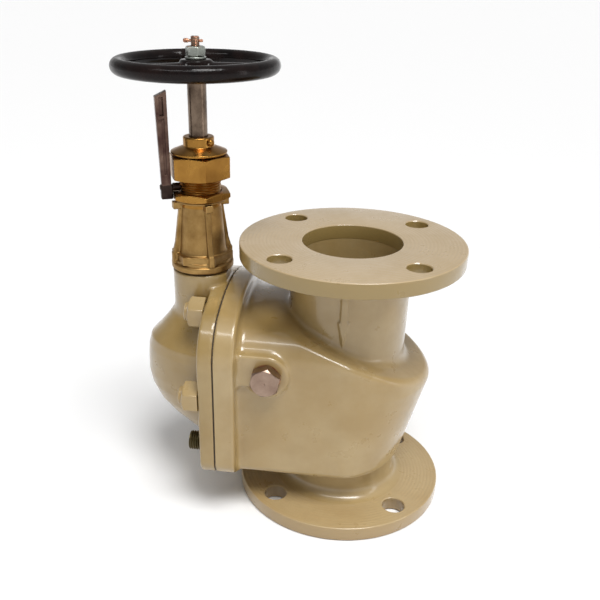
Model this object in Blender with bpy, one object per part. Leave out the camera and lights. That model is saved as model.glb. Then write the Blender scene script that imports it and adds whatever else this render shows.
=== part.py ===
"""Flanged storm valve with a screw-down stem: an assembly of separate pieces.

The inlet flange is on top and the outlet flange below. A flap hangs from a pin across the chamber and
closes upwards against a sloping seat. Its tail reaches left into the cover's dome, under the stem.
Units are metres, +Z is up, and the origin is under the middle of the whole assembly.
"""
import math

import bmesh
import bpy
from mathutils import Matrix, Vector

# Driving dimensions ---------------------------------------------------------------------------------
GAP = 0.0003                      # between pieces that touch

ROUND_LARGE = 40                  # sides of the flanges, necks and bores
ROUND_MEDIUM = 28                 # of bosses and the bonnet
ROUND_SMALL = 20                  # of rings, washers and the stem
ROUND_TINY = 14                   # of studs, screws and small holes

FLANGE_RADIUS = 0.090
FLANGE_THICKNESS = 0.0125
FACE_TO_FACE = 0.230
BORE_RADIUS = 0.040
BOLT_CIRCLE_RADIUS = 0.0725
BOLT_HOLE_RADIUS = 0.0095
NECK_RADIUS = 0.0485

STEM_OFFSET = 0.1225              # from the valve's axis to the stem's axis
WHEEL_RADIUS = 0.0625
VALVE_X = (FLANGE_RADIUS - STEM_OFFSET - WHEEL_RADIUS) / -2
STEM_X = VALVE_X - STEM_OFFSET

SLOPE = math.radians(23.0)        # of the chamber's top and of the seat
TOP_PLANE_Z = 0.154               # where the sloping top crosses the valve's axis
CHAMBER_HALF_WIDTH = 0.067
CHAMBER_BOTTOM_Z = 0.043
CHAMBER_SHOULDER_Z = 0.118        # below it the rounded end tapers inwards
CHAMBER_END_TOP = 0.0715
CHAMBER_END_BOTTOM = 0.052
WALL = 0.0085
FLOOR_Z = 0.052

JOINT_X = VALVE_X - 0.098         # face of the body's cover flange
BODY_FLANGE_DEPTH = 0.016
PLATE_HALF_WIDTH = 0.079
PLATE_CORNER = (0.039, 0.1444)    # centre of the upper corner arc
PLATE_CORNER_RADIUS = 0.040
PLATE_TOP_RADIUS = 0.150
PLATE_TOP_Z = 0.1915
PLATE_FOOT_RADIUS = 0.015
OPENING_HALF_WIDTH = 0.052
OPENING_BOTTOM_Z = 0.054
OPENING_ARC_Z = 0.120

GASKET_THICKNESS = 0.0012
COVER_FACE_X = JOINT_X - 2 * GAP - GASKET_THICKNESS
COVER_PLATE_DEPTH = 0.0115
COVER_BACK_X = COVER_FACE_X - COVER_PLATE_DEPTH
COVER_WALL = 0.008

NUTTED_STUDS = ((0.038, 0.175), (0.067, 0.114))
LOWER_STUD = (0.065, 0.070)
STUD_RADIUS = 0.008
STUD_HOLE_DEPTH = 0.013
NUT_FLATS = 0.024
NUT_HEIGHT = 0.013

HINGE_X = VALVE_X - 0.0573
HINGE_Z = 0.139
PIN_RADIUS = 0.006
PLUG_BOSS_FACE = 0.071
PLUG_BOSS_RADIUS = 0.0175
PLUG_RADIUS = 0.008
PLUG_DEPTH = 0.0085
PLUG_FLATS = 0.022
PLUG_HEAD = 0.009

SEAT_CENTRE = 0.005               # down the slope from the valve's axis
SEAT_BOSS_DEPTH = 0.008
SEAT_RING_DEPTH = 0.006
SEAT_RADIUS = 0.047
FLAP_RADIUS = 0.0445
FLAP_THICKNESS = 0.009
FACING_THICKNESS = 0.003
TAIL_LENGTH = 0.0652              # hinge to the stem's axis
PAD_RADIUS = 0.008
PAD_HALF_WIDTH = 0.0085
WEIGHT_RADIUS = 0.0145
WEIGHT_HALF_WIDTH = 0.0170
WEIGHT_Z = 0.100
TAIL_WAY_TOP_Z = 0.1785           # the pad rises to this height inside the cover's boss

BOSS_RADIUS = 0.0245
BOSS_TOP_Z = 0.2003
STEM_RADIUS = 0.0072
THREAD_RADIUS = 0.009             # of the stem's lifting thread
STEM_NOSE_RADIUS = 0.005          # of the end that stands in the foot
WHEEL_SEAT_RADIUS = 0.0060
TIP_RADIUS = 0.0031
PACKING_RADIUS = 0.012
PACKING_Z = 0.2717                # floor of the packing chamber
SOCKET_Z = 0.181                  # where the bonnet's socket in the boss begins
BONNET_BOTTOM_Z = 0.2018
HEX_TOP_Z = 0.215
CONE_FOOT = (0.0190, 0.2220)      # radius and height where the ribbed cone begins
CONE_HEAD = (0.0162, 0.2563)
BONNET_RING_RADIUS = 0.0256
BONNET_RING_Z = (0.2036, 0.2068)
BONNET_COLLAR_RADIUS = 0.0200
BONNET_NECK_RADIUS = 0.0165
BONNET_TOP_Z = 0.285
BONNET_FLATS = 0.044
RIB_HALF_WIDTH = 0.0020
RIB_FOOT_RADIUS = 0.0252
RIB_COUNT = 4
RIB_DIRECTION = math.radians(-59.0)   # direction of the first rib from the stem's axis
TAB_HALF_WIDTH = 0.0030               # small square tab at the head of every rib
TAB_RADIUS = 0.0226
TAB_Z = (0.2512, 0.2574)
GLAND_FLATS = 0.0435
JAM_NUT_Z = (0.2588, 0.2648)
GLAND_NUT_Z = (0.2748, 0.2925)
GLAND_CORNER = math.radians(-66.0)    # direction of one corner of the gland and jam nuts
BONNET_CORNER = math.radians(-54.0)
COLLAR_Z = 0.2932
LOCK_Z = 0.2681
LOCK_AZIMUTH = math.radians(-156.0)   # the lever stands off a flat of the gland nut
LOCK_SCREW_RADIUS = 0.0030
LOCK_TIP_RADIUS = 0.0019
LEVER_RADIUS = 0.0266
LEVER_HALF_DEPTH = 0.0044
LEVER_HALF_WIDTH = 0.0031
WHEEL_Z = 0.3573
RIM_RADIUS = 0.0058
HUB_RADIUS = 0.012
HUB_Z = (0.3478, 0.3608)
TIP_Z = 0.3765
SPLIT_PIN_RADIUS = 0.0011
SPLIT_PIN_Z = TIP_Z - 0.0032
FOOT_SOCKET_Z = 0.1500            # floor of the socket in the foot

PAINT = ("beige_paint", (0.42, 0.34, 0.21), 0.0, 0.38)
BRONZE = ("bronze", (0.45, 0.27, 0.09), 1.0, 0.38)
BRASS = ("bright_brass", (0.62, 0.40, 0.13), 1.0, 0.28)
STEEL = ("polished_steel", (0.50, 0.46, 0.40), 1.0, 0.25)
DARK_STEEL = ("dark_steel", (0.10, 0.08, 0.07), 1.0, 0.45)
ZINC = ("zinc_plate", (0.55, 0.57, 0.55), 1.0, 0.35)
COPPER = ("copper", (0.55, 0.27, 0.16), 1.0, 0.35)
BLACK = ("black_enamel", (0.010, 0.008, 0.008), 0.0, 0.15)
RUBBER = ("gasket_rubber", (0.03, 0.025, 0.022), 0.0, 0.8)
PACKING = ("graphite_packing", (0.06, 0.06, 0.06), 0.0, 0.7)


# Tools ----------------------------------------------------------------------------------------------
def clear_scene():
    """Remove every object of the scene."""
    for item in list(bpy.data.objects):
        bpy.data.objects.remove(item, do_unlink=True)


def object_from(name, work):
    """Turn a bmesh into an object with its faces pointing out."""
    bmesh.ops.recalc_face_normals(work, faces=work.faces)
    mesh = bpy.data.meshes.new(name)
    work.to_mesh(mesh)
    work.free()
    made = bpy.data.objects.new(name, mesh)
    bpy.context.scene.collection.objects.link(made)
    return made


def move(item, matrix):
    """Move an object's mesh, leaving its own transform as it is."""
    item.data.transform(matrix)
    return item


def turned(name, profile, steps=ROUND_MEDIUM, centre=(0.0, 0.0), hollow=False):
    """Revolve (radius, z) points about a vertical axis. A hollow profile is a closed loop."""
    work = bmesh.new()
    points = [work.verts.new((radius, 0.0, z)) for radius, z in profile]
    pairs = list(zip(points, points[1:]))
    if hollow:
        pairs.append((points[-1], points[0]))
    edges = [work.edges.new(pair) for pair in pairs]
    bmesh.ops.spin(work, geom=points + edges, cent=(0, 0, 0), axis=(0, 0, 1),
                   angle=math.tau, steps=steps, use_merge=True)
    bmesh.ops.remove_doubles(work, verts=work.verts, dist=1e-6)
    return move(object_from(name, work), Matrix.Translation((centre[0], centre[1], 0.0)))


def cylinder(name, radius, low, high, steps=ROUND_SMALL, centre=(0.0, 0.0)):
    """An upright cylinder."""
    return turned(name, [(0.0, low), (radius, low), (radius, high), (0.0, high)], steps, centre)


def washer(name, inner, outer, low, high, steps=ROUND_SMALL, centre=(0.0, 0.0)):
    """An upright ring of rectangular section."""
    profile = [(inner, low), (outer, low), (outer, high), (inner, high)]
    return turned(name, profile, steps, centre, hollow=True)


def loft(name, rings):
    """Join closed rings of points, each with the same count, and cap both ends."""
    work = bmesh.new()
    rows = [[work.verts.new(point) for point in ring] for ring in rings]
    count = len(rows[0])
    for lower, upper in zip(rows, rows[1:]):
        for i in range(count):
            j = (i + 1) % count
            work.faces.new((lower[i], lower[j], upper[j], upper[i]))
    work.faces.new(rows[0])
    work.faces.new(rows[-1])
    return object_from(name, work)


def plate(name, outline, low_x, high_x):
    """A plate across X from a (y, z) outline."""
    return loft(name, [[(x, y, z) for y, z in outline] for x in (low_x, high_x)])


def block(name, low, high):
    """A box between two corners."""
    outline = [(low[1], low[2]), (high[1], low[2]), (high[1], high[2]), (low[1], high[2])]
    return plate(name, outline, low[0], high[0])


def hexagon(name, flats, low, high, corner=0.0, centre=(0.0, 0.0)):
    """An upright hexagonal bar with one corner in the given direction."""
    radius = flats / math.sqrt(3)
    angles = [corner + i * math.tau / 6 for i in range(6)]
    ring = [(centre[0] + radius * math.cos(a), centre[1] + radius * math.sin(a)) for a in angles]
    return loft(name, [[(x, y, z) for x, y in ring] for z in (low, high)])


def boolean(target, tool, operation):
    """Apply one Boolean to the target's mesh and remove the tool."""
    step = target.modifiers.new("step", "BOOLEAN")
    step.operation = operation
    step.solver = "EXACT"
    step.object = tool
    graph = bpy.context.evaluated_depsgraph_get()
    result = bpy.data.meshes.new_from_object(target.evaluated_get(graph))
    target.modifiers.remove(step)
    target.data = result
    bpy.data.objects.remove(tool, do_unlink=True)
    merge_flat(result)
    return target


def merge_flat(mesh):
    """Weld stray points and merge faces that lie in one plane."""
    work = bmesh.new()
    work.from_mesh(mesh)
    bmesh.ops.remove_doubles(work, verts=work.verts, dist=2e-6)
    bmesh.ops.dissolve_limit(work, angle_limit=math.radians(0.05), verts=work.verts, edges=work.edges)
    work.to_mesh(mesh)
    work.free()


def cut(target, *tools):
    """Subtract tools one by one."""
    for tool in tools:
        boolean(target, tool, "DIFFERENCE")
    return target


def join(target, *tools):
    """Add tools one by one."""
    for tool in tools:
        boolean(target, tool, "UNION")
    return target


def chamfered_nut(name, flats, low, high, bore, corner=0.0, centre=(0.0, 0.0), lower=True):
    """A hexagon with its corners turned off at the top, and at the bottom too where lower is set."""
    nut = hexagon(name, flats, low, high, corner, centre)
    rim = flats / math.sqrt(3) + 0.0005
    drop = 0.0016
    face = flats / 2 - 0.0002
    profile = [(0.0, high + 0.001), (face, high + 0.001), (face, high), (rim, high - drop)]
    if lower:
        profile += [(rim, low + drop), (face, low), (face, low - 0.001), (0.0, low - 0.001)]
    else:
        profile += [(rim, low - 0.001), (0.0, low - 0.001)]
    boolean(nut, turned("chamfer", profile, 18, centre), "INTERSECT")
    if bore:
        cut(nut, cylinder("bore", bore, low - 0.002, high + 0.002, ROUND_SMALL, centre))
    return nut


def lying_x(item, x, y, z):
    """Lay an upright piece along -X, its z=0 end at the given point."""
    return move(item, Matrix.Translation((x, y, z)) @ Matrix.Rotation(-math.pi / 2, 4, "Y"))


def lying_y(item, x, y, z, side=1):
    """Lay an upright piece along +Y (side 1) or -Y (side -1), its z=0 end at the given point."""
    return move(item, Matrix.Translation((x, y, z)) @ Matrix.Rotation(-side * math.pi / 2, 4, "X"))


def on_slope(item, along=0.0):
    """Carry an upright piece into the sloping seat's frame, whose top plane is the chamber's ceiling."""
    origin = Vector((VALVE_X, 0.0, TOP_PLANE_Z - WALL / math.cos(SLOPE)))
    tilt = Matrix.Rotation(SLOPE, 4, "Y")
    return move(item, Matrix.Translation(origin) @ tilt @ Matrix.Translation((along, 0.0, 0.0)))


def arc(centre, radius, start, end, steps):
    """Points on a circle from one angle to another, in degrees."""
    angles = [math.radians(start + (end - start) * i / steps) for i in range(steps + 1)]
    return [(centre[0] + radius * math.cos(a), centre[1] + radius * math.sin(a)) for a in angles]


def finish(item, look):
    """Shade round faces smooth and give the piece its material."""
    name, colour, metallic, roughness = look
    material = bpy.data.materials.get(name)
    if material is None:
        material = bpy.data.materials.new(name)
        material.use_nodes = True
        shader = material.node_tree.nodes["Principled BSDF"]
        shader.inputs["Base Color"].default_value = (*colour, 1.0)
        shader.inputs["Metallic"].default_value = metallic
        shader.inputs["Roughness"].default_value = roughness
    item.data.materials.clear()
    item.data.materials.append(material)
    item.data.shade_smooth()
    item.data.set_sharp_from_angle(angle=math.radians(32))
    return item


def pivot(name, location, parent=None):
    """An empty on a joint's axis."""
    empty = bpy.data.objects.new(name, None)
    empty.location = location
    empty.empty_display_size = 0.02
    bpy.context.scene.collection.objects.link(empty)
    bpy.context.view_layer.update()
    if parent:
        attach(empty, parent)
    return empty


def attach(item, parent):
    """Parent an object without moving it."""
    item.parent = parent
    item.matrix_parent_inverse = parent.matrix_world.inverted()
    bpy.context.view_layer.update()


# Outlines -------------------------------------------------------------------------------------------
def plate_outline(inset=0.0):
    """(y, z) outline of the cover flange: arched top, straight sides, rounded foot."""
    half = PLATE_HALF_WIDTH - inset
    foot = PLATE_FOOT_RADIUS - min(inset, 0.010)
    foot_centre = (half - foot, CHAMBER_BOTTOM_Z + foot)
    arch_centre = (0.0, PLATE_TOP_Z - PLATE_TOP_RADIUS)
    lift = math.degrees(math.atan2(PLATE_CORNER[1] - arch_centre[1], PLATE_CORNER[0]))
    right = arc(foot_centre, foot, -90, 0, 4)
    right += arc(PLATE_CORNER, PLATE_CORNER_RADIUS - inset, 0, lift, 7)
    right += arc(arch_centre, PLATE_TOP_RADIUS - inset, lift, 90, 4)[1:-1]
    left = [(-y, z) for y, z in reversed(right)]
    return right + [(0.0, PLATE_TOP_Z - inset)] + left


def opening_outline():
    """(y, z) outline of the way from the chamber into the dome."""
    foot = 0.010
    foot_centre = (OPENING_HALF_WIDTH - foot, OPENING_BOTTOM_Z + foot)
    right = arc(foot_centre, foot, -90, 0, 3)
    right += arc((0.0, OPENING_ARC_Z), OPENING_HALF_WIDTH, 0, 90, 9)
    left = [(-y, z) for y, z in reversed(right[:-1])]
    return right + left


def end_ring(start_x, centre_x, reach, half_width, z, side, steps=14):
    """A U-shaped ring at height z: straight sides, then half an ellipse towards side (+1 or -1) in X."""
    ring = [(start_x, -half_width, z)]
    for i in range(steps + 1):
        angle = -math.pi / 2 + math.pi * i / steps
        ring.append((centre_x + side * reach * math.cos(angle), half_width * math.sin(angle), z))
    ring.append((start_x, half_width, z))
    return ring


# Body -----------------------------------------------------------------------------------------------
def chamber(name, start_x, inset, bottom_z):
    """The chamber's outside, or with an inset its inside: a lofted U cut by the arch and the slope."""
    half = CHAMBER_HALF_WIDTH - inset
    low_end = CHAMBER_END_BOTTOM - inset
    high_end = CHAMBER_END_TOP - inset
    round_edge = 0.003
    levels = (
        (bottom_z, low_end - round_edge, half - round_edge),
        (bottom_z + round_edge, low_end, half),
        (CHAMBER_SHOULDER_Z, high_end, half),
        (FACE_TO_FACE, high_end, half),
    )
    shell = loft(name, [end_ring(start_x, VALVE_X, reach, width, z, 1) for z, reach, width in levels])
    far_x = VALVE_X + FLANGE_RADIUS
    outline_inset = PLATE_HALF_WIDTH - CHAMBER_HALF_WIDTH + inset
    arch = plate("arch", plate_outline(outline_inset), start_x - 0.05, far_x)
    low_box = block("low", (start_x - 0.05, -0.1, bottom_z - 0.01), (far_x, 0.1, OPENING_ARC_Z))
    boolean(shell, join(arch, low_box), "INTERSECT")
    top_z = TOP_PLANE_Z - inset / math.cos(SLOPE)
    wedge = block("wedge", (-0.2, -0.1, 0.0), (0.2, 0.1, 0.2))
    move(wedge, Matrix.Translation((VALVE_X, 0, top_z)) @ Matrix.Rotation(SLOPE, 4, "Y"))
    return cut(shell, wedge)


def necks():
    """Both pipe necks with their flanges, each turned in one profile."""
    inner = FACE_TO_FACE - FLANGE_THICKNESS
    root = 0.004
    top = [(0.0, 0.110), (NECK_RADIUS, 0.110), (NECK_RADIUS, inner - root)]
    top += [(NECK_RADIUS + 0.3 * root, inner - 0.3 * root), (NECK_RADIUS + root, inner)]
    top += [(FLANGE_RADIUS, inner), (FLANGE_RADIUS, FACE_TO_FACE), (0.0, FACE_TO_FACE)]
    low = [(radius, FACE_TO_FACE - z) for radius, z in top[2:]]
    low = [(0.0, 0.065), (NECK_RADIUS, 0.065)] + low
    centre = (VALVE_X, 0.0)
    return turned("inlet", top, ROUND_LARGE, centre), turned("outlet", low, ROUND_LARGE, centre)


def plug_boss(side):
    """The raised seat of a hinge plug, run into the cover flange."""
    depth = PLUG_BOSS_FACE - CHAMBER_HALF_WIDTH + WALL / 2
    boss = cylinder("boss", PLUG_BOSS_RADIUS, 0.0, depth, ROUND_MEDIUM)
    base_y = side * (PLUG_BOSS_FACE - depth)
    lying_y(boss, HINGE_X, base_y, HINGE_Z, side)
    ys = sorted((base_y, side * (PLUG_BOSS_FACE - 0.0005)))
    bridge = block("bridge", (JOINT_X + 0.010, ys[0], HINGE_Z - 0.012),
                   (HINGE_X, ys[1], HINGE_Z + PLUG_BOSS_RADIUS - 0.0005))
    return join(boss, bridge)


def stud_places():
    """(y, z) of the four nutted studs and the two lower ones."""
    upper = [(side * y, z) for y, z in NUTTED_STUDS for side in (-1, 1)]
    lower = [(side * LOWER_STUD[0], LOWER_STUD[1]) for side in (-1, 1)]
    return upper, lower


def flange_holes():
    """Cutters for the four bolt holes of each pipe flange, on the diagonals."""
    for low in (-0.005, FACE_TO_FACE - FLANGE_THICKNESS - 0.002):
        for quarter in range(4):
            angle = math.radians(45 + 90 * quarter)
            centre = (VALVE_X + BOLT_CIRCLE_RADIUS * math.cos(angle),
                      BOLT_CIRCLE_RADIUS * math.sin(angle))
            high = low + FLANGE_THICKNESS + 0.007
            yield cylinder("bolt", BOLT_HOLE_RADIUS, low, high, ROUND_SMALL, centre)


def build_body():
    """The casting: chamber, necks, flanges, cover flange and plug bosses, all hollowed."""
    body = chamber("body", JOINT_X + 0.008, 0.0, CHAMBER_BOTTOM_Z)
    flange = plate("flange", plate_outline(), JOINT_X, JOINT_X + BODY_FLANGE_DEPTH)
    join(body, flange, *necks(), plug_boss(-1), plug_boss(1))
    cut(body, chamber("cavity", JOINT_X + 0.014, WALL, FLOOR_Z))
    seat_boss = cylinder("seat_boss", SEAT_RADIUS + 0.002, -SEAT_BOSS_DEPTH, WALL / 2, ROUND_LARGE)
    join(body, on_slope(seat_boss, SEAT_CENTRE))
    cut(body, plate("opening", opening_outline(), JOINT_X - 0.02, JOINT_X + 0.028))
    cut(body, cylinder("inlet_bore", BORE_RADIUS, 0.095, 0.25, ROUND_LARGE, (VALVE_X, 0.0)))
    cut(body, cylinder("outlet_bore", BORE_RADIUS, -0.02, FLOOR_Z + 0.008, ROUND_LARGE, (VALVE_X, 0.0)))
    cut(body, *flange_holes())
    for y, z in sum(stud_places(), []):
        hole = cylinder("stud", STUD_RADIUS + GAP, -STUD_HOLE_DEPTH, 0.01, ROUND_TINY)
        cut(body, lying_x(hole, JOINT_X, y, z))
    pin_hole = cylinder("pin", PIN_RADIUS + GAP, -0.09, 0.09, ROUND_SMALL)
    cut(body, lying_y(pin_hole, HINGE_X, 0.0, HINGE_Z))
    for side in (-1, 1):
        hole = cylinder("plug", PLUG_RADIUS + GAP, 0.0, 0.02, ROUND_SMALL)
        cut(body, lying_y(hole, HINGE_X, side * (PLUG_BOSS_FACE - PLUG_DEPTH), HINGE_Z, side))
    return finish(body, PAINT)


# Cover ----------------------------------------------------------------------------------------------
# Height, reach beyond the plate and half width of the dome.
DOME_LEVELS = (
    (0.046, 0.002, 0.030), (0.053, 0.013, 0.036), (0.060, 0.023, 0.040), (0.067, 0.034, 0.043),
    (0.075, 0.045, 0.0455), (0.084, 0.054, 0.0472), (0.096, 0.060, 0.048), (0.107, 0.062, 0.048),
    (0.120, 0.061, 0.048), (0.130, 0.059, 0.0475), (0.136, 0.057, 0.047), (0.145, 0.0515, 0.041),
    (0.155, 0.045, 0.0335), (0.166, 0.038, 0.025),
)
DOME_INNER_LEVELS = (0, 3, 4, 5, 6, 8, 10, 11, 12, 13)    # the levels that shape the inside


def dome(name, start_x, inset):
    """The dome's outside, or with an inset its inside."""
    rings = []
    for z, reach, half in DOME_LEVELS:
        if z == DOME_LEVELS[0][0]:
            z += inset * 1.35
            reach += inset / 2
            half += inset / 4
        if z == DOME_LEVELS[-1][0]:
            z -= inset
            half += inset
            reach += inset
        rings.append(end_ring(start_x, COVER_BACK_X, reach - inset, half - inset, z, -1, 12))
    if inset:
        rings = [rings[i] for i in DOME_INNER_LEVELS]
    return loft(name, rings)


def build_cover():
    """The cover casting: plate, dome and the upright boss that takes the bonnet."""
    cover = plate("cover", plate_outline(), COVER_BACK_X, COVER_FACE_X)
    centre = (STEM_X, 0.0)
    join(cover, dome("dome", COVER_FACE_X - 0.004, 0.0))
    boss = cylinder("boss", BOSS_RADIUS, 0.150, BOSS_TOP_Z, ROUND_MEDIUM, centre)
    boss_end_x = COVER_FACE_X - 0.001
    cut(boss, block("boss_end", (boss_end_x, -0.05, 0.140), (boss_end_x + 0.02, 0.05, 0.210)))
    join(cover, boss)
    cut(cover, dome("inside", COVER_FACE_X + 0.02, COVER_WALL))
    cut(cover, cylinder("socket", 0.0163, SOCKET_Z, 0.21, ROUND_MEDIUM, centre))
    cut(cover, cylinder("foot_way", 0.0130, 0.140, SOCKET_Z + 0.005, ROUND_MEDIUM, centre))
    tail_half = PAD_HALF_WIDTH + 0.002
    cut(cover, block("tail_way", (STEM_X - 0.0145, -tail_half, 0.150),
                     (COVER_FACE_X + 0.01, tail_half, TAIL_WAY_TOP_Z)))
    for y, z in sum(stud_places(), []):
        hole = cylinder("stud", STUD_RADIUS + 2 * GAP, -0.02, 0.03, ROUND_TINY)
        cut(cover, lying_x(hole, COVER_FACE_X, y, z))
    return finish(cover, PAINT)


def build_cover_gasket():
    """The thin sheet between body and cover."""
    gasket = plate("cover_gasket", plate_outline(0.0012), JOINT_X - GAP - GASKET_THICKNESS, JOINT_X - GAP)
    cut(gasket, plate("opening", opening_outline(), JOINT_X - 0.02, JOINT_X + 0.02))
    for y, z in sum(stud_places(), []):
        hole = cylinder("stud", STUD_RADIUS + 2 * GAP, -0.01, 0.01, ROUND_TINY)
        cut(gasket, lying_x(hole, JOINT_X, y, z))
    return finish(gasket, RUBBER)


def stud(name, y, z, length):
    """A stud screwed into the body, with a chamfered outer end."""
    profile = [(0.0, 0.0), (STUD_RADIUS, 0.0), (STUD_RADIUS, length - 0.001),
               (STUD_RADIUS - 0.001, length), (0.0, length)]
    inner_end = JOINT_X + STUD_HOLE_DEPTH - GAP
    return lying_x(turned(name, profile, ROUND_TINY), inner_end, y, z)


def build_cover_fasteners():
    """Studs and nuts of the cover."""
    pieces = []
    upper, lower = stud_places()
    to_back = JOINT_X + STUD_HOLE_DEPTH - GAP - COVER_BACK_X
    for number, (y, z) in enumerate(upper, 1):
        long_stud = stud(f"cover_stud_{number}", y, z, to_back + GAP + NUT_HEIGHT + 0.004)
        pieces.append(finish(long_stud, PAINT))
        nut = chamfered_nut(f"cover_nut_{number}", NUT_FLATS, 0.0, NUT_HEIGHT, STUD_RADIUS + GAP,
                            lower=False)
        pieces.append(finish(lying_x(nut, COVER_BACK_X - GAP, y, z), PAINT))
    for name, (y, z) in zip(("lower_stud_front", "lower_stud_rear"), lower):
        pieces.append(finish(stud(name, y, z, to_back + 0.0105), DARK_STEEL))
    return pieces


# Flap -----------------------------------------------------------------------------------------------
def build_hinge():
    """The pin across the chamber and the two plugs that close its holes."""
    half = PLUG_BOSS_FACE - PLUG_DEPTH - GAP
    pin = cylinder("hinge_pin", PIN_RADIUS, -half, half)
    pieces = [finish(lying_y(pin, HINGE_X, 0.0, HINGE_Z), STEEL)]
    washer_depth = 0.0010
    for side, place in ((-1, "front"), (1, "rear")):
        seal = washer(f"plug_washer_{place}", PLUG_RADIUS + GAP, 0.0115, GAP, GAP + washer_depth)
        pieces.append(finish(lying_y(seal, HINGE_X, side * PLUG_BOSS_FACE, HINGE_Z, side), COPPER))
        low = 2 * GAP + washer_depth
        plug = chamfered_nut(f"hinge_plug_{place}", PLUG_FLATS, low, low + PLUG_HEAD, 0.0,
                             corner=math.radians(20), lower=False)
        shank = cylinder("shank", PLUG_RADIUS, GAP - PLUG_DEPTH, low + PLUG_HEAD / 2)
        join(plug, shank)
        pieces.append(finish(lying_y(plug, HINGE_X, side * PLUG_BOSS_FACE, HINGE_Z, side), ZINC))
    return pieces


def flap_levels():
    """Depths below the ceiling, at right angles to it, of the seat, facing and disc."""
    ring_top = -SEAT_BOSS_DEPTH - GAP
    ring_bottom = ring_top - SEAT_RING_DEPTH
    facing_top = ring_bottom - GAP
    disc_top = facing_top - FACING_THICKNESS - GAP
    return ring_top, ring_bottom, facing_top, disc_top, disc_top - FLAP_THICKNESS


def build_seat_ring():
    """The seat: a ring fixed under the inlet neck, parallel to the sloping top."""
    ring_top, ring_bottom = flap_levels()[:2]
    ring = washer("seat_ring", BORE_RADIUS, SEAT_RADIUS, ring_bottom, ring_top, ROUND_LARGE)
    return finish(on_slope(ring, SEAT_CENTRE), BRONZE)


def build_flap_disc():
    """The flap's disc with its central stud."""
    disc_top, disc_bottom = flap_levels()[3:]
    stud_end = disc_bottom - 0.019
    profile = [(0.0, stud_end), (0.006, stud_end), (0.006, disc_bottom), (FLAP_RADIUS - 0.002, disc_bottom),
               (FLAP_RADIUS, disc_bottom + 0.002), (FLAP_RADIUS, disc_top), (0.0, disc_top)]
    return finish(on_slope(turned("flap_disc", profile, ROUND_LARGE), SEAT_CENTRE), BRONZE)


def build_flap_facing():
    """The soft ring on the flap that meets the seat."""
    facing_top = flap_levels()[2]
    ring = washer("flap_facing", 0.036, FLAP_RADIUS - 0.001, facing_top - FACING_THICKNESS, facing_top,
                  ROUND_LARGE)
    return finish(on_slope(ring, SEAT_CENTRE), RUBBER)


def build_flap_fixing():
    """The washer and nut that hold the disc to its arm."""
    disc_bottom = flap_levels()[4]
    arm_back = disc_bottom - 0.0085
    ring = washer("flap_washer", 0.0064, 0.0120, arm_back - GAP - 0.0015, arm_back - GAP)
    nut_top = arm_back - 2 * GAP - 0.0015
    nut = chamfered_nut("flap_nut", 0.019, nut_top - 0.007, nut_top, 0.0063)
    return [finish(on_slope(ring, SEAT_CENTRE), BRONZE), finish(on_slope(nut, SEAT_CENTRE), BRONZE)]


def build_flap_arm():
    """The rocking arm: it carries the disc on the right and the pad and weight on the left."""
    disc_bottom = flap_levels()[4]
    front = disc_bottom - GAP
    arm_back = disc_bottom - 0.0085
    reach = -STEM_OFFSET + TAIL_LENGTH
    arm = lying_y(cylinder("flap_arm", 0.0102, -0.018, 0.018), HINGE_X, 0.0, HINGE_Z)
    bar = block("bar", (reach / math.cos(SLOPE) + 0.004, -0.009, arm_back + 0.0005),
                (0.010, 0.009, front - 0.0005))
    eye = cylinder("eye", 0.0135, arm_back, front)
    join(arm, on_slope(bar), on_slope(eye, SEAT_CENTRE))
    tail_end = HINGE_X - TAIL_LENGTH
    tail = block("tail", (tail_end + 0.002, -0.008, HINGE_Z - 0.007),
                 (HINGE_X - 0.004, 0.008, HINGE_Z + 0.0065))
    pad = cylinder("pad", PAD_RADIUS, -PAD_HALF_WIDTH, PAD_HALF_WIDTH)
    leg = block("leg", (tail_end + 0.001, -0.007, 0.105), (tail_end + 0.013, 0.007, HINGE_Z))
    weight = cylinder("weight", WEIGHT_RADIUS, -WEIGHT_HALF_WIDTH, WEIGHT_HALF_WIDTH)
    join(arm, tail, lying_y(pad, tail_end, 0.0, HINGE_Z), leg)
    join(arm, lying_y(weight, tail_end + 0.001, 0.0, WEIGHT_Z))
    cut(arm, lying_y(cylinder("hinge_bore", PIN_RADIUS + GAP, -0.03, 0.03), HINGE_X, 0.0, HINGE_Z))
    cut(arm, on_slope(cylinder("stud_bore", 0.0064, arm_back - 0.01, front + 0.01), SEAT_CENTRE))
    return finish(arm, BRONZE)


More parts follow.
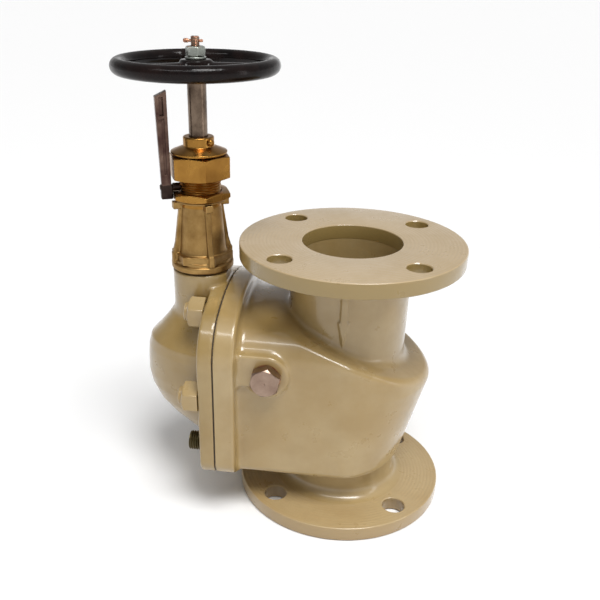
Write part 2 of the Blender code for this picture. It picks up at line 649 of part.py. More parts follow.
# Stem and gland -------------------------------------------------------------------------------------
def build_bonnet():
    """Bronze bonnet: threaded socket end, hexagon, ribbed cone and threaded neck, bored for the stem."""
    centre = (STEM_X, 0.0)
    foot_z = SOCKET_Z + GAP
    collar_top_z = JAM_NUT_Z[0] - GAP
    outside = [
        (0.0, foot_z), (0.0160, foot_z), (0.0160, BONNET_BOTTOM_Z),
        (BONNET_RING_RADIUS - 0.001, BONNET_BOTTOM_Z), (BONNET_RING_RADIUS, BONNET_RING_Z[0]),
        (BONNET_RING_RADIUS, BONNET_RING_Z[1]), (0.0232, 0.2080), (0.0222, HEX_TOP_Z - 0.001),
        (0.0210, HEX_TOP_Z + 0.0015), CONE_FOOT, CONE_HEAD, (BONNET_COLLAR_RADIUS, 0.2570),
        (BONNET_COLLAR_RADIUS, collar_top_z), (BONNET_NECK_RADIUS, collar_top_z),
        (BONNET_NECK_RADIUS, BONNET_TOP_Z), (0.0, BONNET_TOP_Z),
    ]
    bonnet = turned("bonnet", outside, ROUND_MEDIUM, centre)
    base = hexagon("base", BONNET_FLATS, BONNET_RING_Z[1] + 0.0008, HEX_TOP_Z, BONNET_CORNER, centre)
    join(bonnet, base)
    rib_root = 0.012
    rib_foot_z = BONNET_RING_Z[1] - 0.0005
    rib_outline = [(rib_root, rib_foot_z), (RIB_FOOT_RADIUS, rib_foot_z), (RIB_FOOT_RADIUS, HEX_TOP_Z),
                   (0.0222, 0.2220), (0.0182, 0.2525), (rib_root, 0.2525)]
    for number in range(RIB_COUNT):
        sides = (-RIB_HALF_WIDTH, RIB_HALF_WIDTH)
        rib = loft("rib", [[(r, y, z) for r, z in rib_outline] for y in sides])
        tab = block("tab", (rib_root, -TAB_HALF_WIDTH, TAB_Z[0]), (TAB_RADIUS, TAB_HALF_WIDTH, TAB_Z[1]))
        join(rib, tab)
        turn = Matrix.Rotation(RIB_DIRECTION + number * math.tau / RIB_COUNT, 4, "Z")
        join(bonnet, move(rib, Matrix.Translation((STEM_X, 0.0, 0.0)) @ turn))
    foot_room = 0.0115
    inside = [
        (0.0, 0.160), (foot_room, 0.160), (foot_room, 0.1920), (THREAD_RADIUS + GAP, 0.1945),
        (THREAD_RADIUS + GAP, 0.2270), (0.0105, 0.2285), (0.0105, PACKING_Z), (PACKING_RADIUS, PACKING_Z),
        (PACKING_RADIUS, 0.300), (0.0, 0.300),
    ]
    cut(bonnet, turned("inside", inside, ROUND_MEDIUM, centre))
    lock_hole = cylinder("lock_hole", LOCK_SCREW_RADIUS + GAP, 0.004, 0.030, ROUND_TINY)
    cut(bonnet, radial(lock_hole))
    return finish(bonnet, BRONZE)


def radial(item):
    """Lay an upright piece along the lock screw's axis, outwards from the stem's axis."""
    turn = Matrix.Rotation(LOCK_AZIMUTH, 4, "Z") @ Matrix.Rotation(math.pi / 2, 4, "Y")
    return move(item, Matrix.Translation((STEM_X, 0.0, LOCK_Z)) @ turn)


def build_stem_seal():
    """Bonnet gasket, packing rings, gland follower and the two hexagon nuts."""
    centre = (STEM_X, 0.0)
    inner = STEM_RADIUS + GAP
    seal = washer("bonnet_gasket", 0.0165, 0.0225, BOSS_TOP_Z + GAP, BONNET_BOTTOM_Z - GAP,
                  ROUND_MEDIUM, centre)
    pieces = [finish(seal, RUBBER)]
    ring_height = 0.0036
    low = PACKING_Z + GAP
    for number in range(1, 4):
        ring = washer(f"packing_ring_{number}", inner, PACKING_RADIUS - GAP, low, low + ring_height,
                      centre=centre)
        pieces.append(finish(ring, PACKING))
        low += ring_height + GAP
    web_z = GLAND_NUT_Z[1] - 0.0055
    profile = [(inner, low), (PACKING_RADIUS - GAP, low), (PACKING_RADIUS - GAP, BONNET_TOP_Z + GAP),
               (0.0155, BONNET_TOP_Z + GAP), (0.0155, web_z - GAP), (inner, web_z - GAP)]
    follower = turned("gland_follower", profile, ROUND_SMALL, centre, hollow=True)
    pieces.append(finish(follower, BRONZE))
    thread = BONNET_NECK_RADIUS + GAP
    gland = chamfered_nut("gland_nut", GLAND_FLATS, *GLAND_NUT_Z, inner + GAP, GLAND_CORNER, centre)
    cut(gland, cylinder("thread", thread, GLAND_NUT_Z[0] - 0.01, web_z, ROUND_MEDIUM, centre))
    pieces.append(finish(gland, BRASS))
    jam = chamfered_nut("jam_nut", GLAND_FLATS, *JAM_NUT_Z, thread, GLAND_CORNER, centre)
    pieces.append(finish(jam, BRASS))
    return pieces


def build_lock():
    """The radial lock screw and the upright lever on its outer end."""
    low = -0.0093
    high = 0.0719
    lean = 0.0012
    slant = 0.004
    screw_end = 0.0318
    shoulder = LEVER_RADIUS - LEVER_HALF_DEPTH - GAP
    screw_profile = [(0.0, STEM_RADIUS + 0.0005), (LOCK_SCREW_RADIUS, STEM_RADIUS + 0.0005),
                     (LOCK_SCREW_RADIUS, shoulder), (LOCK_TIP_RADIUS, shoulder),
                     (LOCK_TIP_RADIUS, screw_end), (0.0, screw_end)]
    screw = finish(radial(turned("lock_screw", screw_profile, ROUND_TINY)), DARK_STEEL)
    corners = ((-1, -1), (1, -1), (1, 1), (-1, 1))
    rings = []
    for z, shift, narrow, drop in ((low, 0.0, 0.0006, 0.0), (low + 0.001, 0.0, 0.0, 0.0),
                                   (high, lean, 0.0, slant)):
        rings.append([(shift + LEVER_RADIUS + x * (LEVER_HALF_DEPTH - narrow),
                       y * (LEVER_HALF_WIDTH - narrow), z - drop * (1 + x) / 2) for x, y in corners])
    lever = loft("lock_lever", rings)
    slot_x = LEVER_RADIUS + lean / 2
    slot_half = 0.0016
    slot_floor = LEVER_HALF_WIDTH - 0.0035
    cut(lever, block("slot", (slot_x - slot_half, slot_floor, high - 0.0180),
                     (slot_x + slot_half, 0.01, high - 0.0045)))
    move(lever, Matrix.Translation((STEM_X, 0.0, LOCK_Z)) @ Matrix.Rotation(LOCK_AZIMUTH, 4, "Z"))
    cut(lever, radial(cylinder("screw_hole", LOCK_TIP_RADIUS + GAP, 0.015, 0.040, ROUND_TINY)))
    return [screw, finish(lever, STEEL)]


def build_stem():
    """The stem: nose in the foot, thread, plain shaft, wheel seat and threaded tip with a pin hole."""
    nose_z = FOOT_SOCKET_Z + 0.0005
    shoulder_z = 0.1580
    profile = [
        (0.0, nose_z), (STEM_NOSE_RADIUS, nose_z), (STEM_NOSE_RADIUS, shoulder_z),
        (THREAD_RADIUS - 0.001, shoulder_z), (THREAD_RADIUS, shoulder_z + 0.001), (THREAD_RADIUS, 0.2265),
        (STEM_RADIUS, 0.2280), (STEM_RADIUS, HUB_Z[0] - GAP), (WHEEL_SEAT_RADIUS, HUB_Z[0] - GAP),
        (WHEEL_SEAT_RADIUS, HUB_Z[1] - 0.001), (TIP_RADIUS, HUB_Z[1] - 0.001),
        (TIP_RADIUS, TIP_Z - 0.001), (TIP_RADIUS - 0.0008, TIP_Z), (0.0, TIP_Z),
    ]
    stem = turned("stem", profile, ROUND_SMALL, (STEM_X, 0.0))
    hole = cylinder("pin_hole", SPLIT_PIN_RADIUS + GAP, -0.01, 0.01, ROUND_TINY)
    cut(stem, lying_x(hole, STEM_X, 0.0, SPLIT_PIN_Z))
    return finish(stem, STEEL)


def build_presser_foot():
    """The foot under the stem, which doesn't turn: it presses the flap's tail."""
    low = HINGE_Z + PAD_RADIUS + GAP
    high = 0.1577
    socket = STEM_NOSE_RADIUS + GAP
    profile = [(0.0, low), (0.009, low), (0.010, low + 0.001), (0.010, high - 0.0012), (0.009, high),
               (socket, high), (socket, FOOT_SOCKET_Z), (0.0, FOOT_SOCKET_Z)]
    return finish(turned("presser_foot", profile, ROUND_SMALL, (STEM_X, 0.0)), BRONZE)


def build_stop_collar():
    """Disc and ring clamped on the stem: at the lowest position it rests over the gland nut."""
    inner = STEM_RADIUS + GAP
    heights = ((inner, 0.0), (0.0213, 0.0), (0.0220, 0.0008), (0.0220, 0.0018), (0.0128, 0.0054),
               (0.0120, 0.0062), (0.0120, 0.0125), (0.0114, 0.0130), (inner, 0.0130))
    profile = [(radius, COLLAR_Z + height) for radius, height in heights]
    collar = turned("stop_collar", profile, ROUND_MEDIUM, (STEM_X, 0.0), hollow=True)
    turn = Matrix.Rotation(math.radians(-31), 4, "Z") @ Matrix.Rotation(math.pi / 2, 4, "Y")
    place = Matrix.Translation((STEM_X, 0.0, COLLAR_Z + 0.0093)) @ turn
    cut(collar, move(cylinder("screw_hole", 0.0023, 0.005, 0.020, ROUND_TINY), place))
    screw_profile = [(0.0, inner + 0.0003), (0.0020, inner + 0.0003), (0.0020, 0.0123), (0.0026, 0.0124),
                     (0.0024, 0.0140), (0.0014, 0.0150), (0.0, 0.0152)]
    screw = move(turned("collar_set_screw", screw_profile, ROUND_TINY), place)
    return [finish(collar, BRASS), finish(screw, BRASS)]


def build_handwheel():
    """Round rim, hub and three spokes that dip slightly towards the hub."""
    rim_centre = WHEEL_RADIUS - RIM_RADIUS
    profile = [(rim_centre + r, z) for r, z in arc((0.0, WHEEL_Z), RIM_RADIUS, 0, 324, 9)]
    wheel = turned("handwheel", profile, ROUND_LARGE, (STEM_X, 0.0), hollow=True)
    hub = [(0.0, HUB_Z[0]), (HUB_RADIUS - 0.001, HUB_Z[0]), (HUB_RADIUS, HUB_Z[0] + 0.001),
           (HUB_RADIUS, HUB_Z[1] - 0.001), (HUB_RADIUS - 0.001, HUB_Z[1]), (0.0, HUB_Z[1])]
    join(wheel, turned("hub", hub, ROUND_SMALL, (STEM_X, 0.0)))
    for third in range(3):
        rings = []
        sides = arc((0.0, 0.0), 1.0, 22.5, 337.5, 7)
        for reach, half, thick, z in ((0.006, 0.0065, 0.0042, 0.3545),
                                      (rim_centre, 0.0045, 0.0034, WHEEL_Z)):
            rings.append([(reach, y * half, z + w * thick) for y, w in sides])
        spoke = loft("spoke", rings)
        turn = Matrix.Rotation(math.radians(-10 + 120 * third), 4, "Z")
        join(wheel, move(spoke, Matrix.Translation((STEM_X, 0.0, 0.0)) @ turn))
    cut(wheel, cylinder("hub_bore", WHEEL_SEAT_RADIUS + GAP, 0.33, 0.37, centre=(STEM_X, 0.0)))
    return finish(wheel, BLACK)


def build_wheel_fixing():
    """Washer, nut and split pin that hold the wheel."""
    centre = (STEM_X, 0.0)
    low = HUB_Z[1] + GAP
    bore = TIP_RADIUS + GAP
    washer_depth = 0.0016
    ring = finish(washer("wheel_washer", bore, 0.0078, low, low + washer_depth, centre=centre), ZINC)
    nut_low = low + washer_depth + GAP
    nut_high = nut_low + 0.0068
    nut = chamfered_nut("wheel_nut", 0.013, nut_low, nut_high, bore, math.radians(-60), centre)
    pin_profile = [(0.0, -0.0058), (SPLIT_PIN_RADIUS, -0.0058), (SPLIT_PIN_RADIUS, 0.0048),
                   (0.0019, 0.0056), (0.0019, 0.0084), (0.0010, 0.0096), (0.0, 0.0096)]
    pin = lying_x(turned("split_pin", pin_profile, ROUND_TINY), STEM_X, 0.0, SPLIT_PIN_Z)
    return [ring, finish(nut, ZINC), finish(pin, COPPER)]


def main():
    """Build every piece and hang the moving ones on empties at their joints' axes."""
    clear_scene()
    build_body()
    build_cover()
    build_cover_gasket()
    build_cover_fasteners()
    build_hinge()
    build_seat_ring()
    build_bonnet()
    build_stem_seal()

    flap_pivot = pivot("flap_pivot", (HINGE_X, 0.0, HINGE_Z))
    for piece in [build_flap_disc(), build_flap_facing(), build_flap_arm()] + build_flap_fixing():
        attach(piece, flap_pivot)

    lock_pivot = pivot("lock_pivot", (STEM_X, 0.0, LOCK_Z))
    for piece in build_lock():
        attach(piece, lock_pivot)

    lift = pivot("stem_lift", (STEM_X, 0.0, BOSS_TOP_Z))
    attach(build_presser_foot(), lift)
    turn = pivot("stem_turn", (STEM_X, 0.0, BOSS_TOP_Z), lift)
    turning = [build_stem(), build_handwheel()] + build_stop_collar() + build_wheel_fixing()
    for piece in turning:
        attach(piece, turn)


main()
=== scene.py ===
"""Looks of the storm valve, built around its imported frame.

Castings are distance fields turned into meshes, so that their fillets run into each other as in cast metal.
Machined pieces are turned profiles, hexagons and helical threads. Shapes are in millimetres and become
metres when an object is made.
"""

from math import atan2, cos, pi, radians, sin, sqrt, tan, tau

import bmesh
import bpy
import numpy as np
from mathutils import Matrix, Vector


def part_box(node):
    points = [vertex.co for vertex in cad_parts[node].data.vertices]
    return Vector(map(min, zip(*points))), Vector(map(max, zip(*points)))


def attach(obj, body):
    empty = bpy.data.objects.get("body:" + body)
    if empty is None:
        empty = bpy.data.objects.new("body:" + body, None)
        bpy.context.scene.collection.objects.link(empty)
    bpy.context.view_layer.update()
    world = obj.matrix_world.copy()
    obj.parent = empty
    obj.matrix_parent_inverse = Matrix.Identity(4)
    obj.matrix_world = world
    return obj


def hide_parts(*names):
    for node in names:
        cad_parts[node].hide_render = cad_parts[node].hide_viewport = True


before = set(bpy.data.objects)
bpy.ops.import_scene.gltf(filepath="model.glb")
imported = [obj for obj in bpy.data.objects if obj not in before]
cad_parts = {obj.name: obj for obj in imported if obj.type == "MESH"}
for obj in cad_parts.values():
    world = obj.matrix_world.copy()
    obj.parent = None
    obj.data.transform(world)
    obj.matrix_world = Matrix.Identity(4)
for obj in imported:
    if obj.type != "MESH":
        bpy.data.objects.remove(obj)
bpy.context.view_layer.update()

SCENE = bpy.context.scene
MM = 0.001
F32 = np.float32


# Places read from the frame
def box_mm(node):
    """Lowest and highest corner of a CAD node, in mm."""
    low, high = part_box(node)
    return np.array(low) / MM, np.array(high) / MM


def middle_mm(node):
    """The centre of a CAD node's box, in mm."""
    return sum(box_mm(node)) / 2


BODY_LOW, BODY_HIGH = box_mm("body")
FLANGE_R = BODY_HIGH[1]
VALVE_X = BODY_HIGH[0] - FLANGE_R
TOP_Z = BODY_HIGH[2]
JOINT_X = BODY_LOW[0]
COVER_LOW, COVER_HIGH = box_mm("cover")
COVER_FACE, PLATE_HALF, BOSS_TOP = COVER_HIGH
COVER_BACK = box_mm("cover_nut_1")[1][0] + 0.3
PLATE_FOOT = COVER_LOW[2]
STEM_X = middle_mm("stem")[0]
HINGE_X, _, HINGE_Z = middle_mm("hinge_pin")

# Sizes of the pipe side and the chamber, in mm
BORE_R = 40.0
NECK_R = 48.5
NECK_FILLET = 6.5
FLANGE_T = 12.5
FLANGE_MARGIN = 3.0
INLET_ROOT_R, INLET_FILLET = 62.0, 7.0
OUTLET_ROOT_R, OUTLET_FILLET = 68.0, 13.0
BOLT_R = 9.5
BOLT_CIRCLE_R = 72.5
SLOPE = radians(23.0)
SLOPE_TOP = 154.0
WALL = 8.5
SEAT_PLANE = SLOPE_TOP - WALL / cos(SLOPE)
SEAT_SHIFT = 5.0
SHELF_R, SHELF_T = 49.0, 8.0
CHAMBER_HALF, CHAMBER_REACH, CHAMBER_EDGE = 67.0, 71.5, 4.3
CHAMBER_FLOOR = 52.0
TAPER, TAPER_TOP = 0.26, 118.0
OPENING_HALF, OPENING_LOW, OPENING_HIGH, OPENING_DEPTH = 52.0, 54.0, 120.0, 24.0
OVERLAP = 4.0

# Sizes of the bolted joint and the plugs
PLATE_CORNER_R, PLATE_CORNER_Y, PLATE_CORNER_Z = 40.0, 39.0, 144.4
PLATE_ARCH_R, PLATE_ARCH_Z = 150.0, 41.5
PLATE_FOOT_R = 15.0
JOINT_FLANGE_T, JOINT_FILLET, JOINT_EDGE = 16.0, 6.0, 2.2
SEAM, SEAM_EDGE = 0.5, 0.3
STUDS = ((38.0, 175.0), (67.0, 114.0), (65.0, 70.0))
STUD_HOLE_R = 8.3
LUG_R, LUG_ROOT, LUG_TIP, LUG_FILLET = 17.5, 60.0, 71.0, 4.5
PIN_HOLE_R = 6.3
PLUG_HOLE_R, PLUG_HOLE_ROOT = 8.3, 62.5
PLUG_CORNER = radians(20.0)
STUD_PITCH = 2.0

# Sizes of the cover. A row of the dome gives height, reach beyond the plate and half width
DOME = np.array((
    (40.0, -8.0, 25.0), (46.0, 2.0, 30.0), (53.0, 13.0, 36.0), (60.0, 23.0, 40.0), (67.0, 34.0, 43.0),
    (75.0, 45.0, 45.5), (84.0, 54.0, 47.2), (96.0, 60.0, 48.0), (107.0, 62.0, 48.0), (120.0, 61.5, 48.0),
    (130.0, 60.5, 47.5), (139.0, 58.0, 46.0), (148.0, 49.5, 39.0), (157.0, 42.0, 31.5), (166.0, 36.0, 25.0),
    (176.0, 32.0, 18.0),
))
DOME_TOP = 172.0
DOME_SPREAD = 2.0
DOME_ROOT = 12.0
DOME_WALL = 8.0
BOSS_R = 24.5
SPOT_R, SPOT_DEPTH = 15.5, 22.0
STEM_WAY_R, SOCKET_R, SOCKET_Z = 13.0, 16.3, 181.0

# Sizes of the stem and what sits on it
STEM_R = 7.2
TIP_R = 3.1
HUB_LOW, HUB_HIGH, HUB_R = 347.8, 360.8, 12.0
RIM_R = 5.8
SPOKE_LENGTH, SPOKE_SAG = 54.0, 1.7
SPOKE_TURN = radians(-10.0)
BONNET_CORNER = radians(-54.0)
RIB_DIRECTION = radians(-59.0)
GLAND_FLATS = 43.5
GLAND_CORNER = radians(-66.0)
LOCK_AZIMUTH = radians(-156.0)
COLLAR_SCREW_TURN = radians(-31.0)

# Mesh making, in mm unless said otherwise
CAST_STEP = 1.55
BONNET_STEP = 0.55
WHEEL_STEP = 0.85
ARM_STEP = 1.1
TINY = 1e-6
MERGE_DISTANCE = 1e-6  # in metres
NUT_STEPS = 144
NUT_OVERSIZE = 0.6
NUT_FACE_INSET = 0.4
NUT_EDGE_ANGLE = 42.0  # in degrees
COUNTERSINK = 0.8
SHORTEST_THREAD = 0.4  # in pitches
THREAD_SLOPE = 1.3
THREAD_CREST = 0.15

# Looks and studio, in metres
RING_SCALE = 660.0 / 6.3
AIM = (0.0, 0.0, 0.18)
SUN_DIRECTION = (-0.26, 0.34, -1.0)
FLOOR_HALF = 40.0


# Distance fields
meet, join = np.maximum, np.minimum


def blend_min(a, b, k):
    """Union with a fillet about k wide."""
    h = np.clip(0.5 + 0.5 * (b - a) / k, 0.0, 1.0)
    return b + (a - b) * h - k * h * (1.0 - h)


def blend_max(a, b, k):
    """Intersection with a softened edge about k wide."""
    return -blend_min(-a, -b, k)


def round_max(a, b, r):
    """Intersection whose edge is an arc of radius r."""
    corner = np.sqrt(np.maximum(a + r, 0.0) ** 2 + np.maximum(b + r, 0.0) ** 2)
    return np.minimum(np.maximum(a, b), -r) + corner


def slab(value, low, high):
    """Distance to the layer between low and high."""
    return np.abs(value - (low + high) / 2) - (high - low) / 2


def disc(u, v, radius):
    """Distance to a round bar."""
    return np.sqrt(u * u + v * v) - radius


def ellipse(u, v, a, b):
    """About the distance to an elliptical bar with half axes a and b."""
    k1 = np.sqrt((u / a) ** 2 + (v / b) ** 2) + 1e-6
    k2 = np.sqrt((u / a ** 2) ** 2 + (v / b ** 2) ** 2) + 1e-9
    return k1 * (k1 - 1.0) / k2


def rotated(u, v, angle):
    """Coordinates along and across a direction."""
    return u * cos(angle) + v * sin(angle), v * cos(angle) - u * sin(angle)


def stud_bar(y, z, stud, radius):
    """Distance to the round bars on the axes of a pair of studs."""
    return disc(np.abs(y) - stud[0], z - stud[1], radius)


def profile_at(z, heights, values):
    """A size that changes with height."""
    return np.interp(z, heights, values).astype(F32)


def pipe_ends(z, middle, upper_foot, lower_top):
    """Distance under the foot of the upper pipe, or over the top of the lower one."""
    return np.where(z > middle, upper_foot - z, z - lower_top)


def arch_field(y, z, inset):
    """Distance to the cover flange's straight sides, corner arcs and arched top, inset."""
    side = np.abs(y)
    top = disc(side, z - PLATE_ARCH_Z, PLATE_ARCH_R - inset)
    base = np.maximum(side - PLATE_HALF + inset, top)
    along = atan2(PLATE_CORNER_Z - PLATE_ARCH_Z, PLATE_CORNER_Y)
    dy, dz = side - PLATE_CORNER_Y, z - PLATE_CORNER_Z
    in_corner = (dz > 0) & (dy * sin(along) - dz * cos(along) > 0)
    return np.where(in_corner, disc(dy, dz, PLATE_CORNER_R - inset), base)


def plate_field(y, z):
    """Distance to the cover flange's outline: the arch with a rounded foot."""
    return round_max(arch_field(y, z, 0.0), PLATE_FOOT - z, PLATE_FOOT_R)


def above_slope(x, z):
    """Height over the chamber's sloping top."""
    return (z - SLOPE_TOP + tan(SLOPE) * (x - VALVE_X)) * cos(SLOPE)


def chamber_field(x, y, z, inset, edge):
    """Distance to the chamber's outside, or inset to its inside."""
    half = CHAMBER_HALF - inset
    reach = CHAMBER_REACH - inset - TAPER * np.maximum(TAPER_TOP - z, 0.0)
    u = np.maximum(x - VALVE_X, 0.0)
    wall = np.where(x > VALVE_X, ellipse(u, y, reach, half), np.abs(y) - half) * 0.985
    sides = np.maximum(wall, arch_field(y, z, 12.0 + inset))
    return round_max(sides, above_slope(x, z) + inset, edge)


def arrow_field(u, y, z):
    """Distance to the raised flow arrow on the front of the inlet neck."""
    half, low, high = 2.8, 178.0, 207.0
    tip, root, flare = 160.0, 181.0, 0.215
    relief, edge = 2.4, 1.5
    side = np.abs(u + 1.0)
    shaft = meet(side - half, slab(z, low, high))
    head = meet(side * 0.97 - (z - tip) * flare, z - root)
    arrow = round_max(join(shaft, head), disc(u, y, NECK_R + relief), edge)
    return meet(arrow, y + 20.0)


def body_outside(x, y, z):
    """Distance to the body's outside: chamber, necks, flange roots, lugs, joint flange and arrow."""
    u, side = x - VALVE_X, np.abs(y)
    around = disc(u, y, 0.0)
    joint = JOINT_X + OVERLAP - x
    shape = round_max(chamber_field(x, y, z, 0.0, CHAMBER_EDGE), PLATE_FOOT - z, 7.0)
    shape = meet(shape, joint)
    necks = meet(around - NECK_R, slab(z, OVERLAP, TOP_Z - OVERLAP))
    necks = meet(necks, pipe_ends(z, 120.0, 100.0, 70.0))
    shape = blend_min(shape, necks, NECK_FILLET)
    under, inside = FLANGE_T - 0.25, FLANGE_MARGIN
    inlet = meet(around - INLET_ROOT_R, slab(z, TOP_Z - under, TOP_Z - inside))
    outlet = meet(around - OUTLET_ROOT_R, slab(z, inside, under))
    shape = blend_min(blend_min(shape, inlet, INLET_FILLET), outlet, OUTLET_FILLET)
    lug_x, lug_z = x - HINGE_X, z - HINGE_Z
    lug = join(disc(lug_x, lug_z, LUG_R), meet(slab(lug_z, -10.0, LUG_R), lug_x))
    lug = meet(round_max(lug, side - LUG_TIP, 1.6), LUG_ROOT - side)
    shape = blend_min(shape, meet(lug, joint), LUG_FILLET)
    flange = round_max(plate_field(y, z), x - JOINT_X - JOINT_FLANGE_T, JOINT_EDGE)
    flange = round_max(flange, JOINT_X - SEAM - x, SEAM_EDGE)
    shape = blend_min(shape, flange, JOINT_FILLET)
    return blend_min(shape, arrow_field(u, y, z), 1.0)


def body_hollow(x, y, z):
    """Distance to the body's inside: chamber with the seat's shelf, opening, bores, hinge holes."""
    u, side = x - VALVE_X, np.abs(y)
    hollow = round_max(chamber_field(x, y, z, WALL, 4.0), CHAMBER_FLOOR - z, 4.0)
    hollow = meet(hollow, JOINT_X + 14.0 - x)
    along = rotated(u, SEAT_PLANE - z, SLOPE)[0] - SEAT_SHIFT
    shelf = meet(disc(along, y, SHELF_R), -SHELF_T - WALL - above_slope(x, z))
    hollow = blend_max(hollow, -shelf, 2.0)
    opening = meet(side - OPENING_HALF, slab(z, OPENING_LOW, OPENING_HIGH))
    arch = meet(disc(y, z - OPENING_HIGH, OPENING_HALF), OPENING_HIGH - 2.0 - z)
    opening = meet(join(opening, arch), x - JOINT_X - OPENING_DEPTH)
    bores = meet(disc(u, y, BORE_R), pipe_ends(z, 105.0, 95.0, 60.0))
    pin = disc(x - HINGE_X, z - HINGE_Z, 0.0)
    plug = meet(pin - PLUG_HOLE_R, PLUG_HOLE_ROOT - side)
    for part in (opening, bores, pin - PIN_HOLE_R, plug):
        hollow = join(hollow, part)
    return hollow


def body_field(x, y, z):
    """Distance to the body casting, without the outer parts of its pipe flanges."""
    shape = blend_max(body_outside(x, y, z), -body_hollow(x, y, z), 1.2)
    for stud in STUDS:
        hole = meet(stud_bar(y, z, stud, STUD_HOLE_R), x - JOINT_X - 13.0)
        shape = meet(shape, -hole)
    corner = BOLT_CIRCLE_R * sqrt(0.5)
    bolts = disc(np.abs(x - VALVE_X) - corner, np.abs(y) - corner, BOLT_R + 0.6)
    beyond = FLANGE_T + FLANGE_MARGIN
    bolts = meet(bolts, pipe_ends(z, TOP_Z / 2, TOP_Z - beyond, beyond))
    return meet(shape, -bolts)


def dome_field(x, y, z, inset):
    """Distance to the cover's dome, a half ellipse whose size changes with height."""
    levels, reaches, halves = DOME.T
    height = np.clip(z, levels[0], levels[-1])
    reach = profile_at(height, levels, reaches) + DOME_ROOT - inset
    half = profile_at(height, levels, halves) + DOME_SPREAD - inset
    steep = profile_at(height, levels, np.gradient(reaches, levels))
    u = np.maximum(COVER_BACK + DOME_ROOT - x, 0.0)
    side = ellipse(u, y, np.maximum(reach, 4.0), np.maximum(half, 4.0))
    side = side / np.sqrt(1.0 + np.clip(steep, -2.0, 2.0) ** 2 * 0.8)
    return round_max(side, slab(z, levels[0] + inset * 1.5, DOME_TOP - inset), 2.0)


def cover_hollow(x, y, z):
    """Distance to the cover's inside, which keeps clear of the upper nuts' pockets."""
    hollow = meet(dome_field(x, y, z, DOME_WALL), COVER_BACK - 70.0 - x)
    opening = meet(np.abs(y) - 38.0, slab(z, 58.0, 162.0))
    depth = join(COVER_BACK + 6.0 - x, dome_field(x, y, z, DOME_WALL / 2))
    opening = meet(opening, meet(depth, COVER_BACK - 2.0 - x))
    way = meet(disc(x - STEM_X, y, STEM_WAY_R), 145.0 - z)
    socket = meet(disc(x - STEM_X, y, SOCKET_R), SOCKET_Z - z)
    tail_way = meet(np.abs(y) - 10.5, slab(z, 150.0, 178.5))
    tail_way = meet(tail_way, STEM_X - 14.5 - x)
    for part in (opening, way, socket, tail_way):
        hollow = join(hollow, part)
    for stud in STUDS[:2]:
        hollow = meet(hollow, 5.0 - stud_bar(y, z, stud, SPOT_R))
    return hollow


def cover_field(x, y, z):
    """Distance to the cover casting: dome, plate and boss, with a pocket around each nut."""
    dome = meet(dome_field(x, y, z, 0.0), x - COVER_FACE + OVERLAP)
    plate = round_max(plate_field(y, z), COVER_BACK - x, 2.0)
    plate = round_max(plate, x - COVER_FACE - SEAM, SEAM_EDGE)
    boss = round_max(disc(x - STEM_X, y, BOSS_R), meet(z - BOSS_TOP, 150.0 - z), 0.8)
    boss = meet(boss, x - COVER_FACE + SEAM)
    shape = blend_min(blend_min(dome, plate, 5.0), boss, 2.5)
    for stud in STUDS[:2]:
        pocket = meet(stud_bar(y, z, stud, SPOT_R), slab(x, COVER_BACK - SPOT_DEPTH, COVER_BACK))
        shape = blend_max(shape, -pocket, 1.5)
    shape = blend_max(shape, -cover_hollow(x, y, z), 1.0)
    for stud in STUDS:
        shape = meet(shape, -stud_bar(y, z, stud, STUD_HOLE_R + 0.3))
    return shape


def wheel_field(x, y, z):
    """Distance to the handwheel: a round rim, three spokes that sag to the hub, and the hub."""
    low, high = box_mm("handwheel")
    middle = high[2] - RIM_R
    u, w = x - STEM_X, z - middle
    around = disc(u, y, 0.0)
    rim = disc(around - (high[0] - low[0]) / 2 + RIM_R, w, RIM_R)
    shape = round_max(around - HUB_R, slab(z, HUB_LOW, HUB_HIGH), 1.6)
    for third in range(3):
        along, across = rotated(u, y, SPOKE_TURN + third * tau / 3)
        share = np.clip((along - 8.0) / 44.0, 0.0, 1.0)
        sag = w + SPOKE_SAG * (1.0 - share)
        arm = ellipse(across, sag, 6.3 - 1.6 * share, 4.0 - 0.7 * share)
        shape = blend_min(shape, meet(arm, slab(along, 2.0, SPOKE_LENGTH)), 3.0)
    return meet(blend_min(shape, rim, 4.0), 6.3 - around)


def hexagon(u, v, flats, corner):
    """Distance to a hexagonal bar with a corner in the given direction."""
    faces = [np.abs(rotated(u, v, corner + pi / 6 + i * pi / 3)[0]) - flats / 2 for i in range(3)]
    return round_max(round_max(faces[0], faces[1], 0.5), faces[2], 0.5)


